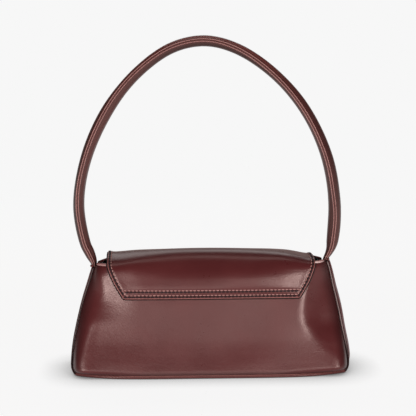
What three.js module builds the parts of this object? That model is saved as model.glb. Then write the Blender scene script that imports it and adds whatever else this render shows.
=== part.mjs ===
// A flap shoulder bag with an arched rolled handle, in millimetres, +Z up.
// The origin is on the floor under the middle of the bag. The rear, where the flap is sewn on, faces -Y.
import * as THREE from "three";

// Body
const bodyLength = 280; // over the gussets, at their widest
const bodyHeight = 108; // floor to the top of the rims
const widestHeight = 9; // where the gussets stand out furthest
const mouthLength = 240; // over the gussets, at the rims
const cornerTuck = 3.5; // how far the bottom corners roll in under the widest height
const baseDepth = 86; // over the two big panels, at the middle of the base
const mouthDepth = 40; // over the two big panels, at the middle of the mouth
const seamDepthBase = 58; // between the two seams of a gusset, at the base
const seamDepthTop = 10; // between the same seams, at the mouth
const gussetBulgeBase = 6; // how far a gusset swells past its seams, at the base
const gussetBulgeTop = 2; // the same, at the mouth
const panelFlatnessBase = 5; // power of the panel's bow: higher is flatter, with a sharper turn at the seam
const panelFlatnessTop = 11;
const sideTaper = 1.6; // power of the gussets' lean
const depthTaper = 0.9; // power of the panels' lean

// Thicknesses and seams
const leather = 1.6;
const clearance = 0.3; // between pieces that touch on the real bag
const weltDiameter = 3; // corded seams round the base and up the corners
const rimHeight = 3.2; // rolled top edge of a panel
const rimDepth = 3;
const baseThickness = 2.4;
const boardThickness = 2;
const liningThickness = 0.8;
const liningOffset = 3.1; // panel's outer face to the lining's outer face, measured along Y
const liningEndInset = 8; // seam to the lining's end, which leaves room for the handle's tab
const pocketThickness = 0.8;
const pocketWidth = 120;
const pocketHeight = 58;
const pocketDrop = 22; // rim top down to the pocket's hem

// Flap
const flapWidth = 206;
const flapEdgeWidth = 174; // along the straight end, between the cut corners
const flapCornerLength = 36; // length of a cut corner along the flap
const flapCornerBend = 1.5; // power of its curve: 1 is a straight cut
const flapRise = 10.5; // flap's top above the rims, at its side edges
const flapCrown = 4.5; // how much higher the top is in the middle
const flapRearDrop = 30.5; // rim top down to the end that is sewn to the rear panel
const flapFrontDrop = 66; // rim top down to the free end
const flapFoldDrop = 4; // rim top down to where the folds begin
const flapFoldReach = 12; // how far in from the mouth's edge the top turns level
const flapLeather = 1.3;
const flapStiffener = 0.6;
const flapLining = 0.8;
const flapRearStandOff = 0.6; // flap lining to the rear panel, at the sewn end
const flapRimStandOff = 1.6; // flap lining to the rear panel, at the fold
const stiffenerMargin = 6; // flap's side edge to the stiffener's edge

// Magnetic snap
const snapDrop = 50; // rim top down to the snap's middle
const snapDiameter = 18;
const socketHeight = 3;
const socketWall = 0.6;
const socketHole = 9;
const studPlate = 1.2;
const studHeight = 1.5;
const studDiameter = 5;
const studTaper = 0.75; // how much narrower the stud's tip is, at each side
const backPlate = 0.6;
const backPlateDiameter = 15;

// Rolled handle
const handleWidth = 11; // across the rolled tube, seen from the rear
const handleDepth = 11; // front to rear
const handleFootWidth = 5; // where it is pressed flat at the bag's corners
const handleFootDepth = 7.2;
const handleFootMouth = 2; // flat at the very end of the foot
const handleFootSplay = 2.8; // how far the arm leans out over its rounded end
const handleTaper = 34; // length over which the foot swells to the full tube
const handlePivotRise = 7; // bending line above the rims
const handleRise = 215; // bending line to the top of the tube's centre line
const handleSpread = 131; // bag's middle to the widest point of the left arm's centre line
const handleSwing = 110; // how far the handle falls to the front and to the rear, in degrees
const handleLeather = 1.4;
const seamRidge = 1.6; // how far the handle's sewn edges stand out
const tabThickness = 4;
const tabWidth = 6;
const tabLength = 26; // how deep the tab reaches inside the corner

// The arch's centre line as [share of the spread, share of the rise], from the left foot to the right
const archShares = [
  [-0.955, 0.06], [-1.0, 0.245], [-0.929, 0.47], [-0.759, 0.692], [-0.53, 0.855], [-0.28, 0.966], [-0.05, 1.0],
  [0.185, 0.966], [0.455, 0.858], [0.707, 0.692], [0.885, 0.47], [0.949, 0.245], [0.93, 0.06],
];

// How finely the curved pieces are divided
const panelColumns = 18;
const panelRows = 9;
const gussetColumns = 4;
const outlineSteps = 16;
const weltSides = 8;
const weltSteps = 12;
const rimSides = 8;
const rimSteps = 30;
const liningColumns = 14;
const liningRows = 8;
const flapColumns = 10;
const flapRearRows = 3;
const flapFrontRows = [5, 4, 5, 5, 4]; // rear fold, top, front fold, upper and lower front drop
const snapSegments = 20;
const handleSides = 10;
const handleSteps = 40;
const footSteps = 3;
const coreSides = 8;
const tabRows = 4;

// Finishes
const oxblood = { color: 0x5a2a2a, roughness: 0.45 };
const oxbloodDark = { color: 0x4b2122, roughness: 0.5 };
const seamEdge = { color: 0x7d4a47, roughness: 0.4 };
const backing = { color: 0x4b2122, roughness: 0.65 };
const blackCloth = { color: 0x141214, roughness: 0.85 };
const board = { color: 0x6d675f, roughness: 0.9 };
const steel = { color: 0xb9b4ab, roughness: 0.3, metalness: 1 };
const ferrite = { color: 0x55565a, roughness: 0.6, metalness: 0.4 };
const cotton = { color: 0xcfc6b4, roughness: 0.95 };

const { lerp, clamp, smoothstep, degToRad } = THREE.MathUtils;
const bag = new THREE.Group();

// Adds one piece to the bag
function piece(name, geometry, finish) {
  const mesh = new THREE.Mesh(geometry, new THREE.MeshStandardMaterial(finish));
  mesh.name = name;
  bag.add(mesh);
  return mesh;
}

// Shape of the body

// Half length over the gussets at a height
function halfLength(z) {
  if (z < widestHeight) {
    return bodyLength / 2 - cornerTuck * ((widestHeight - z) / widestHeight) ** 2;
  }
  const lean = Math.min(1, (z - widestHeight) / (bodyHeight - widestHeight));
  return bodyLength / 2 - ((bodyLength - mouthLength) / 2) * lean ** sideTaper;
}

const heightShare = (z) => clamp(z / bodyHeight, 0, 1);
const gussetBulge = (z) => lerp(gussetBulgeBase, gussetBulgeTop, heightShare(z));
const seamX = (z) => halfLength(z) - gussetBulge(z);
const depthLean = (z) => (1 - heightShare(z)) ** depthTaper;
const seamY = (z) => lerp(seamDepthTop, seamDepthBase, depthLean(z)) / 2;
const middleY = (z) => lerp(mouthDepth, baseDepth, depthLean(z)) / 2;

// Distance of a panel's outer face from the bag's middle plane, at a share u of the half length
function panelY(u, z) {
  const flatness = lerp(panelFlatnessBase, panelFlatnessTop, heightShare(z));
  return lerp(middleY(z), seamY(z), Math.abs(u) ** flatness);
}

// Half length over a gusset at a height and a distance y from the bag's middle plane
const gussetX = (y, z) => seamX(z) + gussetBulge(z) * (1 - (y / seamY(z)) ** 2);

// Step i of a count, from -1 to 1, crowded towards both ends, where the panels turn
const crowded = (i, count) => Math.sin((i / count - 0.5) * Math.PI);

// Geometry helpers

function solid(points, index) {
  const geometry = new THREE.BufferGeometry();
  const positions = points.flatMap((p) => [p.x, p.y, p.z]);
  geometry.setAttribute("position", new THREE.Float32BufferAttribute(positions, 3));
  geometry.setIndex(index);
  return geometry;
}

// A closed solid from rings of points that run the same way round, capped unless it closes on itself
function loft(rings, closed = false) {
  const count = rings[0].length;
  const index = [];
  const spans = closed ? rings.length : rings.length - 1;
  for (let r = 0; r < spans; r++) {
    const next = (r + 1) % rings.length;
    for (let k = 0; k < count; k++) {
      const a = r * count + k;
      const b = r * count + ((k + 1) % count);
      const c = next * count + ((k + 1) % count);
      const d = next * count + k;
      index.push(a, b, c, a, c, d);
    }
  }
  const end = (rings.length - 1) * count;
  for (let k = 1; k < count - 1 && !closed; k++) {
    index.push(0, k + 1, k, end, end + k, end + k + 1);
  }
  return solid(rings.flat(), index);
}

// A closed sheet: its outer face is surface(u, v), u from -1 to 1 and v from 0 to 1, with a thickness inwards
function sheet(surface, columns, rows, thickness) {
  const nudge = 1e-3;
  const outer = [];
  const inner = [];
  for (let j = 0; j <= rows; j++) {
    for (let i = 0; i <= columns; i++) {
      const u = -1 + (2 * i) / columns;
      const v = j / rows;
      const du = surface(Math.min(1, u + nudge), v).sub(surface(Math.max(-1, u - nudge), v));
      const dv = surface(u, Math.min(1, v + nudge)).sub(surface(u, Math.max(0, v - nudge)));
      const outward = du.cross(dv).normalize();
      const point = surface(u, v);
      outer.push(point);
      inner.push(point.clone().addScaledVector(outward, -thickness));
    }
  }
  const row = columns + 1;
  const size = outer.length;
  const index = [];
  const quad = (a, b, c, d) => index.push(a, b, c, a, c, d);
  for (let j = 0; j < rows; j++) {
    for (let i = 0; i < columns; i++) {
      const a = j * row + i;
      quad(a, a + 1, a + row + 1, a + row);
      quad(size + a, size + a + row, size + a + row + 1, size + a + 1);
    }
  }
  for (let i = 0; i < columns; i++) {
    const top = rows * row + i;
    quad(i + 1, i, size + i, size + i + 1);
    quad(top, top + 1, size + top + 1, size + top);
  }
  for (let j = 0; j < rows; j++) {
    const left = j * row;
    const right = left + columns;
    quad(left, left + row, size + left + row, size + left);
    quad(right + row, right, size + right, size + right + row);
  }
  return solid([...outer, ...inner], index);
}

// A tube of an elliptical section along a curve through points
function tube(points, width, depth, sides, steps) {
  const section = [];
  for (let k = 0; k < sides; k++) {
    const angle = (k / sides) * Math.PI * 2;
    section.push(new THREE.Vector2((Math.cos(angle) * width) / 2, (Math.sin(angle) * depth) / 2));
  }
  const extrudePath = new THREE.CatmullRomCurve3(points, false, "centripetal");
  return new THREE.ExtrudeGeometry(new THREE.Shape(section), { steps, extrudePath, bevelEnabled: false });
}

// The body's outline at a height, drawn in by an inset, anticlockwise from above from the rear left seam
function planOutline(z, inset) {
  const outline = [];
  for (const side of [-1, 1]) {
    for (let i = 0; i <= outlineSteps; i++) {
      const u = crowded(i, outlineSteps) * -side;
      outline.push(new THREE.Vector2(u * (seamX(z) - inset), side * (panelY(u, z) - inset)));
    }
    for (let i = 1; i < gussetColumns; i++) {
      const y = side * (1 - (2 * i) / gussetColumns) * (seamY(z) - inset);
      outline.push(new THREE.Vector2(-side * (gussetX(y, z) - inset), y));
    }
  }
  return outline;
}

// A flat plate with the body's outline at a height
function plate(z, inset, thickness, bottom) {
  const shape = new THREE.Shape(planOutline(z, inset));
  const geometry = new THREE.ExtrudeGeometry(shape, { depth: thickness, bevelEnabled: false });
  return geometry.translate(0, 0, bottom);
}

// A closed welt of round section that follows the body's outline at a height
function weltRing(z) {
  const outline = planOutline(z, 0);
  const rings = outline.map((spot, i) => {
    const ahead = outline[(i + 1) % outline.length];
    const run = ahead.clone().sub(outline.at(i - 1)).normalize();
    const ring = [];
    for (let k = 0; k < weltSides; k++) {
      const angle = (k / weltSides) * Math.PI * 2;
      const out = Math.cos(angle) * weltRadius;
      const down = Math.sin(angle) * weltRadius;
      ring.push(new THREE.Vector3(spot.x + run.y * out, spot.y - run.x * out, z - down));
    }
    return ring;
  });
  return loft(rings, true);
}

// Base
const weltRadius = weltDiameter / 2;
const seamAllowance = weltRadius + 3 * clearance; // seam line to the edges of the pieces that it joins
const panelBottom = weltDiameter + 2 * clearance;
const panelTop = bodyHeight - rimHeight - clearance;
const weltHeight = weltRadius + clearance;
const boardBottom = baseThickness + clearance;

piece("base_panel", plate(weltHeight, seamAllowance, baseThickness, 0), oxblood);
piece("base_board", plate(panelBottom, liningOffset + clearance, boardThickness, boardBottom), board);
piece("base_welt", weltRing(weltHeight), seamEdge);

// Front and rear panels
const panelNames = new Map([[-1, "rear"], [1, "front"]]); // -1 is towards -Y
for (const [side, name] of panelNames) {
  const surface = (u, v) => {
    const z = lerp(panelBottom, panelTop, v);
    const x = Math.sin((u * Math.PI) / 2) * (seamX(z) - seamAllowance);
    return new THREE.Vector3(-side * x, side * panelY(x / seamX(z), z), z);
  };
  piece(name + "_panel", sheet(surface, panelColumns, panelRows, leather), oxblood);
}

// Gussets
const gussetNames = new Map([[-1, "left"], [1, "right"]]); // -1 is towards -X
for (const [side, name] of gussetNames) {
  const surface = (u, v) => {
    const z = lerp(panelBottom, panelTop, v);
    const y = u * (seamY(z) - seamAllowance);
    return new THREE.Vector3(side * gussetX(y, z), side * y, z);
  };
  piece(name + "_gusset", sheet(surface, gussetColumns, panelRows, leather), oxbloodDark);
}

// Welts up the four corner seams
for (const [side, panelName] of panelNames) {
  for (const [end, gussetName] of gussetNames) {
    const points = [];
    for (let i = 0; i <= panelRows; i++) {
      const z = lerp(panelBottom, panelTop, i / panelRows);
      points.push(new THREE.Vector3(end * (seamX(z) + clearance), side * (seamY(z) + clearance), z));
    }
    const welt = tube(points, weltDiameter, weltDiameter, weltSides, weltSteps);
    piece(panelName + "_" + gussetName + "_welt", welt, seamEdge);
  }
}

// Outer face of a handle tab, which lies inside the gusset
const tabOuterX = (z) => gussetX(tabWidth / 2, z) - leather - 2 * clearance;

// Rolled rims along the panels' top edges, which end beside the handle's tabs
const rimEnd = tabOuterX(bodyHeight) - tabThickness - clearance;
for (const [side, name] of panelNames) {
  const z = bodyHeight - rimHeight / 2;
  const points = [];
  for (let i = 0; i <= outlineSteps; i++) {
    const x = crowded(i, outlineSteps) * rimEnd;
    points.push(new THREE.Vector3(x, side * (panelY(x / seamX(z), z) - leather / 2), z));
  }
  piece(name + "_rim", tube(points, rimDepth, rimHeight, rimSides, rimSteps), oxblood);
}

// Lining, a cloth bag inside the panels, open at the mouth
function liningRing(z, inset) {
  const ring = [];
  const reach = seamX(z) - liningEndInset - inset;
  for (const side of [-1, 1]) {
    for (let i = 0; i <= liningColumns; i++) {
      const x = crowded(i, liningColumns) * reach;
      const y = panelY(x / seamX(z), z) - liningOffset - inset;
      ring.push(new THREE.Vector3(-side * x, side * y, z));
    }
  }
  return ring;
}

// One wall of the lining from its floor up to the rims
function liningWall(floor, inset) {
  const rings = [];
  for (let i = 0; i <= liningRows; i++) {
    rings.push(liningRing(lerp(floor, panelTop, i / liningRows), inset));
  }
  return rings;
}

const liningBottom = boardBottom + boardThickness + clearance;
const liningOutside = liningWall(liningBottom, 0);
const liningInside = liningWall(liningBottom + liningThickness, liningThickness);
piece("lining", loft([...liningOutside, ...liningInside.reverse()]), blackCloth);

// Slip pocket, sewn flat to the lining's rear wall
const pocketColumns = 6;
const pocketRows = 4;
function pocketPoint(u, v) {
  const z = bodyHeight - pocketDrop - pocketHeight * (1 - v);
  const x = (u * pocketWidth) / 2;
  const depth = panelY(x / seamX(z), z) - liningOffset - liningThickness - clearance;
  return new THREE.Vector3(x, -depth, z);
}
piece("slip_pocket", sheet(pocketPoint, pocketColumns, pocketRows, pocketThickness), blackCloth);

// Flap, as a profile in the plane across the bag: x of the path is the bag's y, and y is its z
const flapThickness = flapLining + flapStiffener + flapLeather + 2 * clearance;
const flapRearEdge = bodyHeight - flapRearDrop;
const flapFrontEdge = bodyHeight - flapFrontDrop;
const foldZ = bodyHeight - flapFoldDrop;
const foldY = middleY(foldZ) + flapRimStandOff;
const roofZ = bodyHeight + flapRise - flapThickness;
const roofHalf = mouthDepth / 2 + flapRimStandOff - flapFoldReach;

// The front drop lies parallel to the front panel at the snap, with the snap's two halves between them
const snapHeight = bodyHeight - snapDrop;
const snapLean = Math.atan2(middleY(snapHeight - 1) - middleY(snapHeight + 1), 2);
const snapStack = socketHeight + studPlate + 3 * clearance;
const snapTop = snapHeight + snapDiameter / 2 + 3 * clearance;
function dropY(z) {
  return middleY(snapHeight) + Math.tan(snapLean) * (snapHeight - z) + snapStack / Math.cos(snapLean);
}

const flapProfile = new THREE.Path();
flapProfile.moveTo(-middleY(flapRearEdge) - flapRearStandOff, flapRearEdge);
flapProfile.lineTo(-foldY, foldZ);
flapProfile.quadraticCurveTo(-foldY, roofZ, -roofHalf, roofZ);
flapProfile.lineTo(roofHalf, roofZ);
flapProfile.quadraticCurveTo(foldY, roofZ, foldY, foldZ);
flapProfile.lineTo(dropY(snapTop), snapTop);
flapProfile.lineTo(dropY(flapFrontEdge), flapFrontEdge);
const flapLength = flapProfile.getLength();
const flapEnds = flapProfile.getCurveLengths().map((length) => length / flapLength);
const hingeShare = flapEnds[0];

// Point on the flap at a share s of its length and u of its half width, a height above its inner face
function flapPoint(s, u, height, margin) {
  const reach = 1 / flapLength;
  const spot = flapProfile.getPoint(s);
  const ahead = flapProfile.getPoint(Math.min(1, s + reach));
  const run = ahead.sub(flapProfile.getPoint(Math.max(0, s - reach))).normalize();
  const toEnd = Math.min(s, 1 - s) * flapLength;
  const cut = (1 - Math.min(1, toEnd / flapCornerLength)) ** flapCornerBend;
  const half = lerp(flapWidth, flapEdgeWidth, cut) / 2 - margin;
  const x = u * half;
  const bow = 1 - (x / (flapWidth / 2)) ** 2;
  const crown = flapCrown * bow * smoothstep(spot.y, foldZ, roofZ);
  return new THREE.Vector3(x, spot.x - run.y * height, spot.y + run.x * height + crown);
}

// One ply of the flap, with cross lines at a list of shares of its length
function flapPly(shares, height, thickness, margin = 0) {
  const rows = shares.length - 1;
  const surface = (u, v) => {
    const row = Math.min(rows - 1, Math.floor(v * rows));
    const s = lerp(shares[row], shares[row + 1], v * rows - row);
    return flapPoint(s, u, height, margin);
  };
  return sheet(surface, flapColumns, rows, thickness);
}

// The flap's two parts meet at the hinge, where the rear fold begins
const halfGap = clearance / 2 / flapLength;
const rearShares = [];
for (let k = 0; k <= flapRearRows; k++) {
  rearShares.push(((hingeShare - halfGap) * k) / flapRearRows);
}
const frontShares = [hingeShare + halfGap];
for (const [i, rows] of flapFrontRows.entries()) {
  for (let k = 1; k <= rows; k++) {
    frontShares.push(lerp(flapEnds[i], flapEnds[i + 1], k / rows));
  }
}
const stiffenerShares = frontShares.slice(1, -1);
const stiffenerTop = flapLining + clearance + flapStiffener;

piece("flap_rear", flapPly(rearShares, flapThickness, flapLeather), oxblood);
piece("flap_rear_lining", flapPly(rearShares, flapLining, flapLining), backing);
piece("flap_front", flapPly(frontShares, flapThickness, flapLeather), oxblood);
piece("flap_front_lining", flapPly(frontShares, flapLining, flapLining), backing);
piece("flap_stiffener", flapPly(stiffenerShares, stiffenerTop, flapStiffener, stiffenerMargin), board);

// Magnetic snap, turned about the front panel's outward direction, a height above the panel's outer face
function snapPiece(name, profile, height, finish) {
  const points = profile.map(([r, h]) => new THREE.Vector2(r, h));
  const mesh = piece(name, new THREE.LatheGeometry(points, snapSegments), finish);
  const out = new THREE.Vector3(0, Math.cos(snapLean), Math.sin(snapLean));
  mesh.quaternion.setFromUnitVectors(new THREE.Vector3(0, 1, 0), out);
  mesh.position.set(0, middleY(snapHeight), snapHeight).addScaledVector(out, height);
}

const snapRadius = snapDiameter / 2;
const holeRadius = socketHole / 2;
const shellInside = snapRadius - socketWall;
const socketInside = socketHeight - socketWall;
const socketProfile = [
  [holeRadius, socketInside], [shellInside, socketInside], [shellInside, 0], [snapRadius, 0],
  [snapRadius, socketHeight], [holeRadius, socketHeight], [holeRadius, socketInside],
];
snapPiece("snap_socket", socketProfile, clearance, steel);

const magnetOuter = shellInside - clearance;
const magnetTop = socketInside - clearance;
const magnetProfile = [
  [holeRadius, 0], [magnetOuter, 0], [magnetOuter, magnetTop], [holeRadius, magnetTop], [holeRadius, 0],
];
snapPiece("snap_magnet", magnetProfile, clearance, ferrite);

const plateRadius = backPlateDiameter / 2;
const plateProfile = [[0, 0], [plateRadius, 0], [plateRadius, backPlate], [0, backPlate]];
snapPiece("snap_back_plate", plateProfile, -leather - clearance - backPlate, steel);

const studRadius = studDiameter / 2;
const studProfile = [
  [0, -studHeight], [studRadius - studTaper, -studHeight], [studRadius, 0],
  [snapRadius, 0], [snapRadius, studPlate], [0, studPlate],
];
snapPiece("snap_stud", studProfile, socketHeight + 2 * clearance, steel);

// Rolled handle, which bends at its feet about a line along X
const pivotZ = bodyHeight + handlePivotRise;
const footX = tabOuterX(bodyHeight) - tabThickness / 2;
const footRadius = handleFootDepth / 2;
const footDrop = Math.sqrt(footRadius ** 2 - (handleFootMouth / 2) ** 2);

// The arch's centre line, which leans out as it leaves each foot
function archCurve() {
  const foot = (side, splay, rise) => new THREE.Vector3(side * (footX + splay), 0, pivotZ + rise);
  const shares = archShares.map(([x, z]) => new THREE.Vector3(x * handleSpread, 0, pivotZ + z * handleRise));
  const footRise = footRadius / 4;
  const left = [foot(-1, 0, -footDrop), foot(-1, handleFootSplay, footRise)];
  const right = [foot(1, handleFootSplay, footRise), foot(1, 0, -footDrop)];
  const points = [...left, ...shares, ...right];
  return new THREE.CatmullRomCurve3(points, false, "centripetal");
}
const arch = archCurve();
const archLength = arch.getLength();

// Ring of the handle's section at a distance along it, drawn in by an inset, from its sewn ridge
function handleRing(distance, inset) {
  const centre = arch.getPointAt(distance / archLength);
  const run = arch.getTangentAt(distance / archLength);
  const toFoot = Math.min(distance, archLength - distance);
  const swell = smoothstep(toFoot, footDrop, handleTaper);
  const level = new THREE.Vector3(Math.sign(run.z), 0, 0); // the foot's own rings lie level
  const across = level.lerp(new THREE.Vector3(run.z, 0, -run.x), swell).normalize();
  const below = Math.max(0, pivotZ - centre.z); // below the bending line the foot is round about it
  const footDepth = 2 * Math.sqrt(footRadius ** 2 - below ** 2);
  const halfWidth = lerp(handleFootWidth, handleWidth, swell) / 2 - inset;
  const halfDepth = lerp(footDepth, handleDepth, swell) / 2 - Math.min(inset, footDepth / 3);
  const ridge = inset > 0 ? 0 : seamRidge * swell;
  const ring = [];
  for (let k = 0; k < handleSides; k++) {
    const angle = (k / handleSides) * Math.PI * 2;
    const reach = halfDepth + (k === 0 ? ridge : 0);
    const point = centre.clone().addScaledVector(across, Math.sin(angle) * halfWidth);
    point.y -= Math.cos(angle) * reach;
    ring.push(point);
  }
  return ring;
}

// Distances along the handle where it has a ring, closer together on the rounded feet
function handleStations() {
  const stations = [];
  for (let i = 0; i < footSteps; i++) {
    stations.push((footDrop * i) / footSteps);
  }
  for (let i = 0; i <= handleSteps; i++) {
    stations.push(lerp(footDrop, archLength - footDrop, i / handleSteps));
  }
  for (let i = footSteps - 1; i >= 0; i--) {
    stations.push(archLength - (footDrop * i) / footSteps);
  }
  return stations;
}

const stations = handleStations();
const handleOutside = stations.map((distance) => handleRing(distance, 0));
const handleBore = stations.map((distance) => handleRing(distance, handleLeather));
piece("handle_cover", loft([...handleOutside, ...handleBore.reverse()], true), oxblood);

// The cord inside the handle stops where the tube starts to flatten
const corePoints = [];
for (let i = 0; i <= handleSteps; i++) {
  const distance = lerp(handleTaper, archLength - handleTaper, i / handleSteps);
  corePoints.push(arch.getPointAt(distance / archLength));
}
const coreWidth = Math.min(handleWidth, handleDepth) - 2 * handleLeather - 4 * clearance;
piece("handle_core", tube(corePoints, coreWidth, coreWidth, coreSides, handleSteps), cotton);

// Tabs that hold the handle's feet, tucked inside the gussets, with sloping tops so that it can fall
const swing = degToRad(handleSwing);
const tabTop = pivotZ - footRadius / Math.sin(swing) - clearance;
const tabSlope = Math.tan(swing - Math.PI / 2);
for (const [side, name] of gussetNames) {
  const rings = [];
  const half = tabWidth / 2;
  for (let i = 0; i <= tabRows; i++) {
    const level = lerp(tabTop - tabLength, tabTop, i / tabRows);
    const outer = tabOuterX(level);
    const inner = outer - tabThickness;
    const shoulder = i === tabRows ? half * tabSlope + clearance : 0;
    const corners = [
      [inner, 0, 0], [inner, -half, shoulder], [outer, -half, shoulder],
      [outer, 0, 0], [outer, half, shoulder], [inner, half, shoulder],
    ];
    rings.push(corners.map(([x, y, drop]) => new THREE.Vector3(side * x, side * y, level - drop)));
  }
  piece(name + "_handle_tab", loft(rings), oxbloodDark);
}

export default bag;
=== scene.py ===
"""A flap shoulder bag with an arched rolled handle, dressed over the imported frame."""
import math

import bmesh
import bpy
from mathutils import Matrix, Vector, noise


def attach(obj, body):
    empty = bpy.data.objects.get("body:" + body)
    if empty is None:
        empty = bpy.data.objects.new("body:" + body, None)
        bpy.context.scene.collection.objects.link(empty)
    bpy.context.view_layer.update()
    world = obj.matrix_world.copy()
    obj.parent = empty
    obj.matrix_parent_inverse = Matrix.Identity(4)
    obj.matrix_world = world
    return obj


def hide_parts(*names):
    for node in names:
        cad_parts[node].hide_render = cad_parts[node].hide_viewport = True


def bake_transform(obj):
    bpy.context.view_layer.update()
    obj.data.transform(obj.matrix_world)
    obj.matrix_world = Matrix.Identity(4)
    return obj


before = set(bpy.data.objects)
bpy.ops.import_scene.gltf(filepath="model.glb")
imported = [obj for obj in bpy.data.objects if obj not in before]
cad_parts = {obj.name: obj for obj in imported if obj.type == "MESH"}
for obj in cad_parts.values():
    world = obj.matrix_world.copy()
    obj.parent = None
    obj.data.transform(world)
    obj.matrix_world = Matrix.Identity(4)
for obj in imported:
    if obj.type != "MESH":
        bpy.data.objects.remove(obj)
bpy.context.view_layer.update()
scene = bpy.context.scene

# Sizes in millimetres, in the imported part's frame, where the rear faces -Y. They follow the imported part,
# apart from the gussets, which lie flatter
MM = 0.001
BODY_LENGTH = 280
BODY_HEIGHT = 108
WIDEST_HEIGHT = 11
MOUTH_LENGTH = 240
CORNER_TUCK = 5.0
BASE_DEPTH = 86
MOUTH_DEPTH = 40
SEAM_DEPTH_BASE = 58
SEAM_DEPTH_TOP = 10
GUSSET_BULGE_BASE = 2.6
GUSSET_BULGE_TOP = 1.8
FLATNESS_BASE = 5
FLATNESS_TOP = 11
SIDE_TAPER = 1.6
DEPTH_TAPER = 0.9
LEATHER = 1.6
CLEARANCE = 0.3
PIPING_RADIUS = 1.5
RIM_HEIGHT = 3.2
RIM_DEPTH = 3.0
BASE_THICKNESS = 2.4
FLAP_WIDTH = 206
FLAP_EDGE_WIDTH = 174
FLAP_CORNER = 36
FLAP_CORNER_BEND = 1.5
FLAP_CROWN = 4.5
FLAP_REAR_EDGE = 77.5
FLAP_FRONT_EDGE = 42
FOLD_Z = 104
ROOF_Z = 115.2
FLAP_THICKNESS = 3.3
FLAP_LEATHER = 1.3
FLAP_LINING = 0.8
SNAP_HEIGHT = 58
SNAP_STACK = 5.1
SNAP_RADIUS = 9
PIVOT_Z = 115
HANDLE_RISE = 215
HANDLE_SPREAD = 131.4


def lerp(a, b, share):
    return a + (b - a) * share


def clamp(value, low=0.0, high=1.0):
    return max(low, min(high, value))


def smooth(value, low, high):
    """0 before low, 1 after high, and a smooth step between them."""
    share = clamp((value - low) / (high - low))
    return share * share * (3 - 2 * share)


def bell(value, middle, width):
    return math.exp(-(((value - middle) / width) ** 2))


def spline(knots, at):
    """Smooth value at a position through knots of (position, value)."""
    at = clamp(at, knots[0][0], knots[-1][0])
    last = len(knots) - 1
    i = 0
    while i < last - 1 and at > knots[i + 1][0]:
        i += 1

    def slope(k):
        if k == 0 or k == last:
            k = min(k, last - 1)
            return (knots[k + 1][1] - knots[k][1]) / (knots[k + 1][0] - knots[k][0])
        (t0, v0), (t1, v1), (t2, v2) = knots[k - 1:k + 2]
        return (v1 - v0) / (t1 - t0) - (v2 - v0) / (t2 - t0) + (v2 - v1) / (t2 - t1)

    (t0, v0), (t1, v1) = knots[i], knots[i + 1]
    span = t1 - t0
    t = (at - t0) / span
    bend = slope(i) * span * t * (1 - t) ** 2 - slope(i + 1) * span * t * t * (1 - t)
    return lerp(v0, v1, t * t * (3 - 2 * t)) + bend


# Shape of the body: the filled base stands out a little, and the mouth draws in, each between two heights
END_SWELL = 0.6
SWELL_FADE = (25, 60)
MOUTH_DRAW = 0.7
DRAW_RISE = (55, 95)
# How the body has settled, as (height, x): a lean of the whole, and the right end drawn in from its middle
BODY_SHIFT = [(0, -0.9), (50, -0.8), (75, -0.2), (95, 0.8), (120, 0.8)]
RIGHT_DRAW = [(0, 0.2), (15, 0.5), (40, 1.8), (85, 1.9), (100, 2.3), (112, 2.8)]
RIGHT_DRAW_SPAN = (70, 130)


def half_length(z):
    """Half length over the gussets at a height."""
    swell = END_SWELL * (1 - smooth(z, *SWELL_FADE)) - MOUTH_DRAW * smooth(z, *DRAW_RISE)
    if z < WIDEST_HEIGHT:
        return BODY_LENGTH / 2 + swell - CORNER_TUCK * ((WIDEST_HEIGHT - z) / WIDEST_HEIGHT) ** 2
    lean = min(1.0, (z - WIDEST_HEIGHT) / (BODY_HEIGHT - WIDEST_HEIGHT))
    return BODY_LENGTH / 2 + swell - (BODY_LENGTH - MOUTH_LENGTH) / 2 * lean ** SIDE_TAPER


def height_share(z):
    return clamp(z / BODY_HEIGHT)


def gusset_bulge(z):
    return lerp(GUSSET_BULGE_BASE, GUSSET_BULGE_TOP, height_share(z))


def seam_x(z):
    return half_length(z) - gusset_bulge(z)


def depth_lean(z):
    return (1 - height_share(z)) ** DEPTH_TAPER


def seam_y(z):
    return lerp(SEAM_DEPTH_TOP, SEAM_DEPTH_BASE, depth_lean(z)) / 2


def middle_y(z):
    return lerp(MOUTH_DEPTH, BASE_DEPTH, depth_lean(z)) / 2


def panel_y(x, z):
    """Distance of a panel's outer face from the bag's middle plane."""
    flatness = lerp(FLATNESS_BASE, FLATNESS_TOP, height_share(z))
    share = min(1.0, abs(x) / seam_x(z))
    return lerp(middle_y(z), seam_y(z), share ** flatness)


def gusset_x(y, z):
    return seam_x(z) + gusset_bulge(z) * (1 - (y / seam_y(z)) ** 2)


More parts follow.
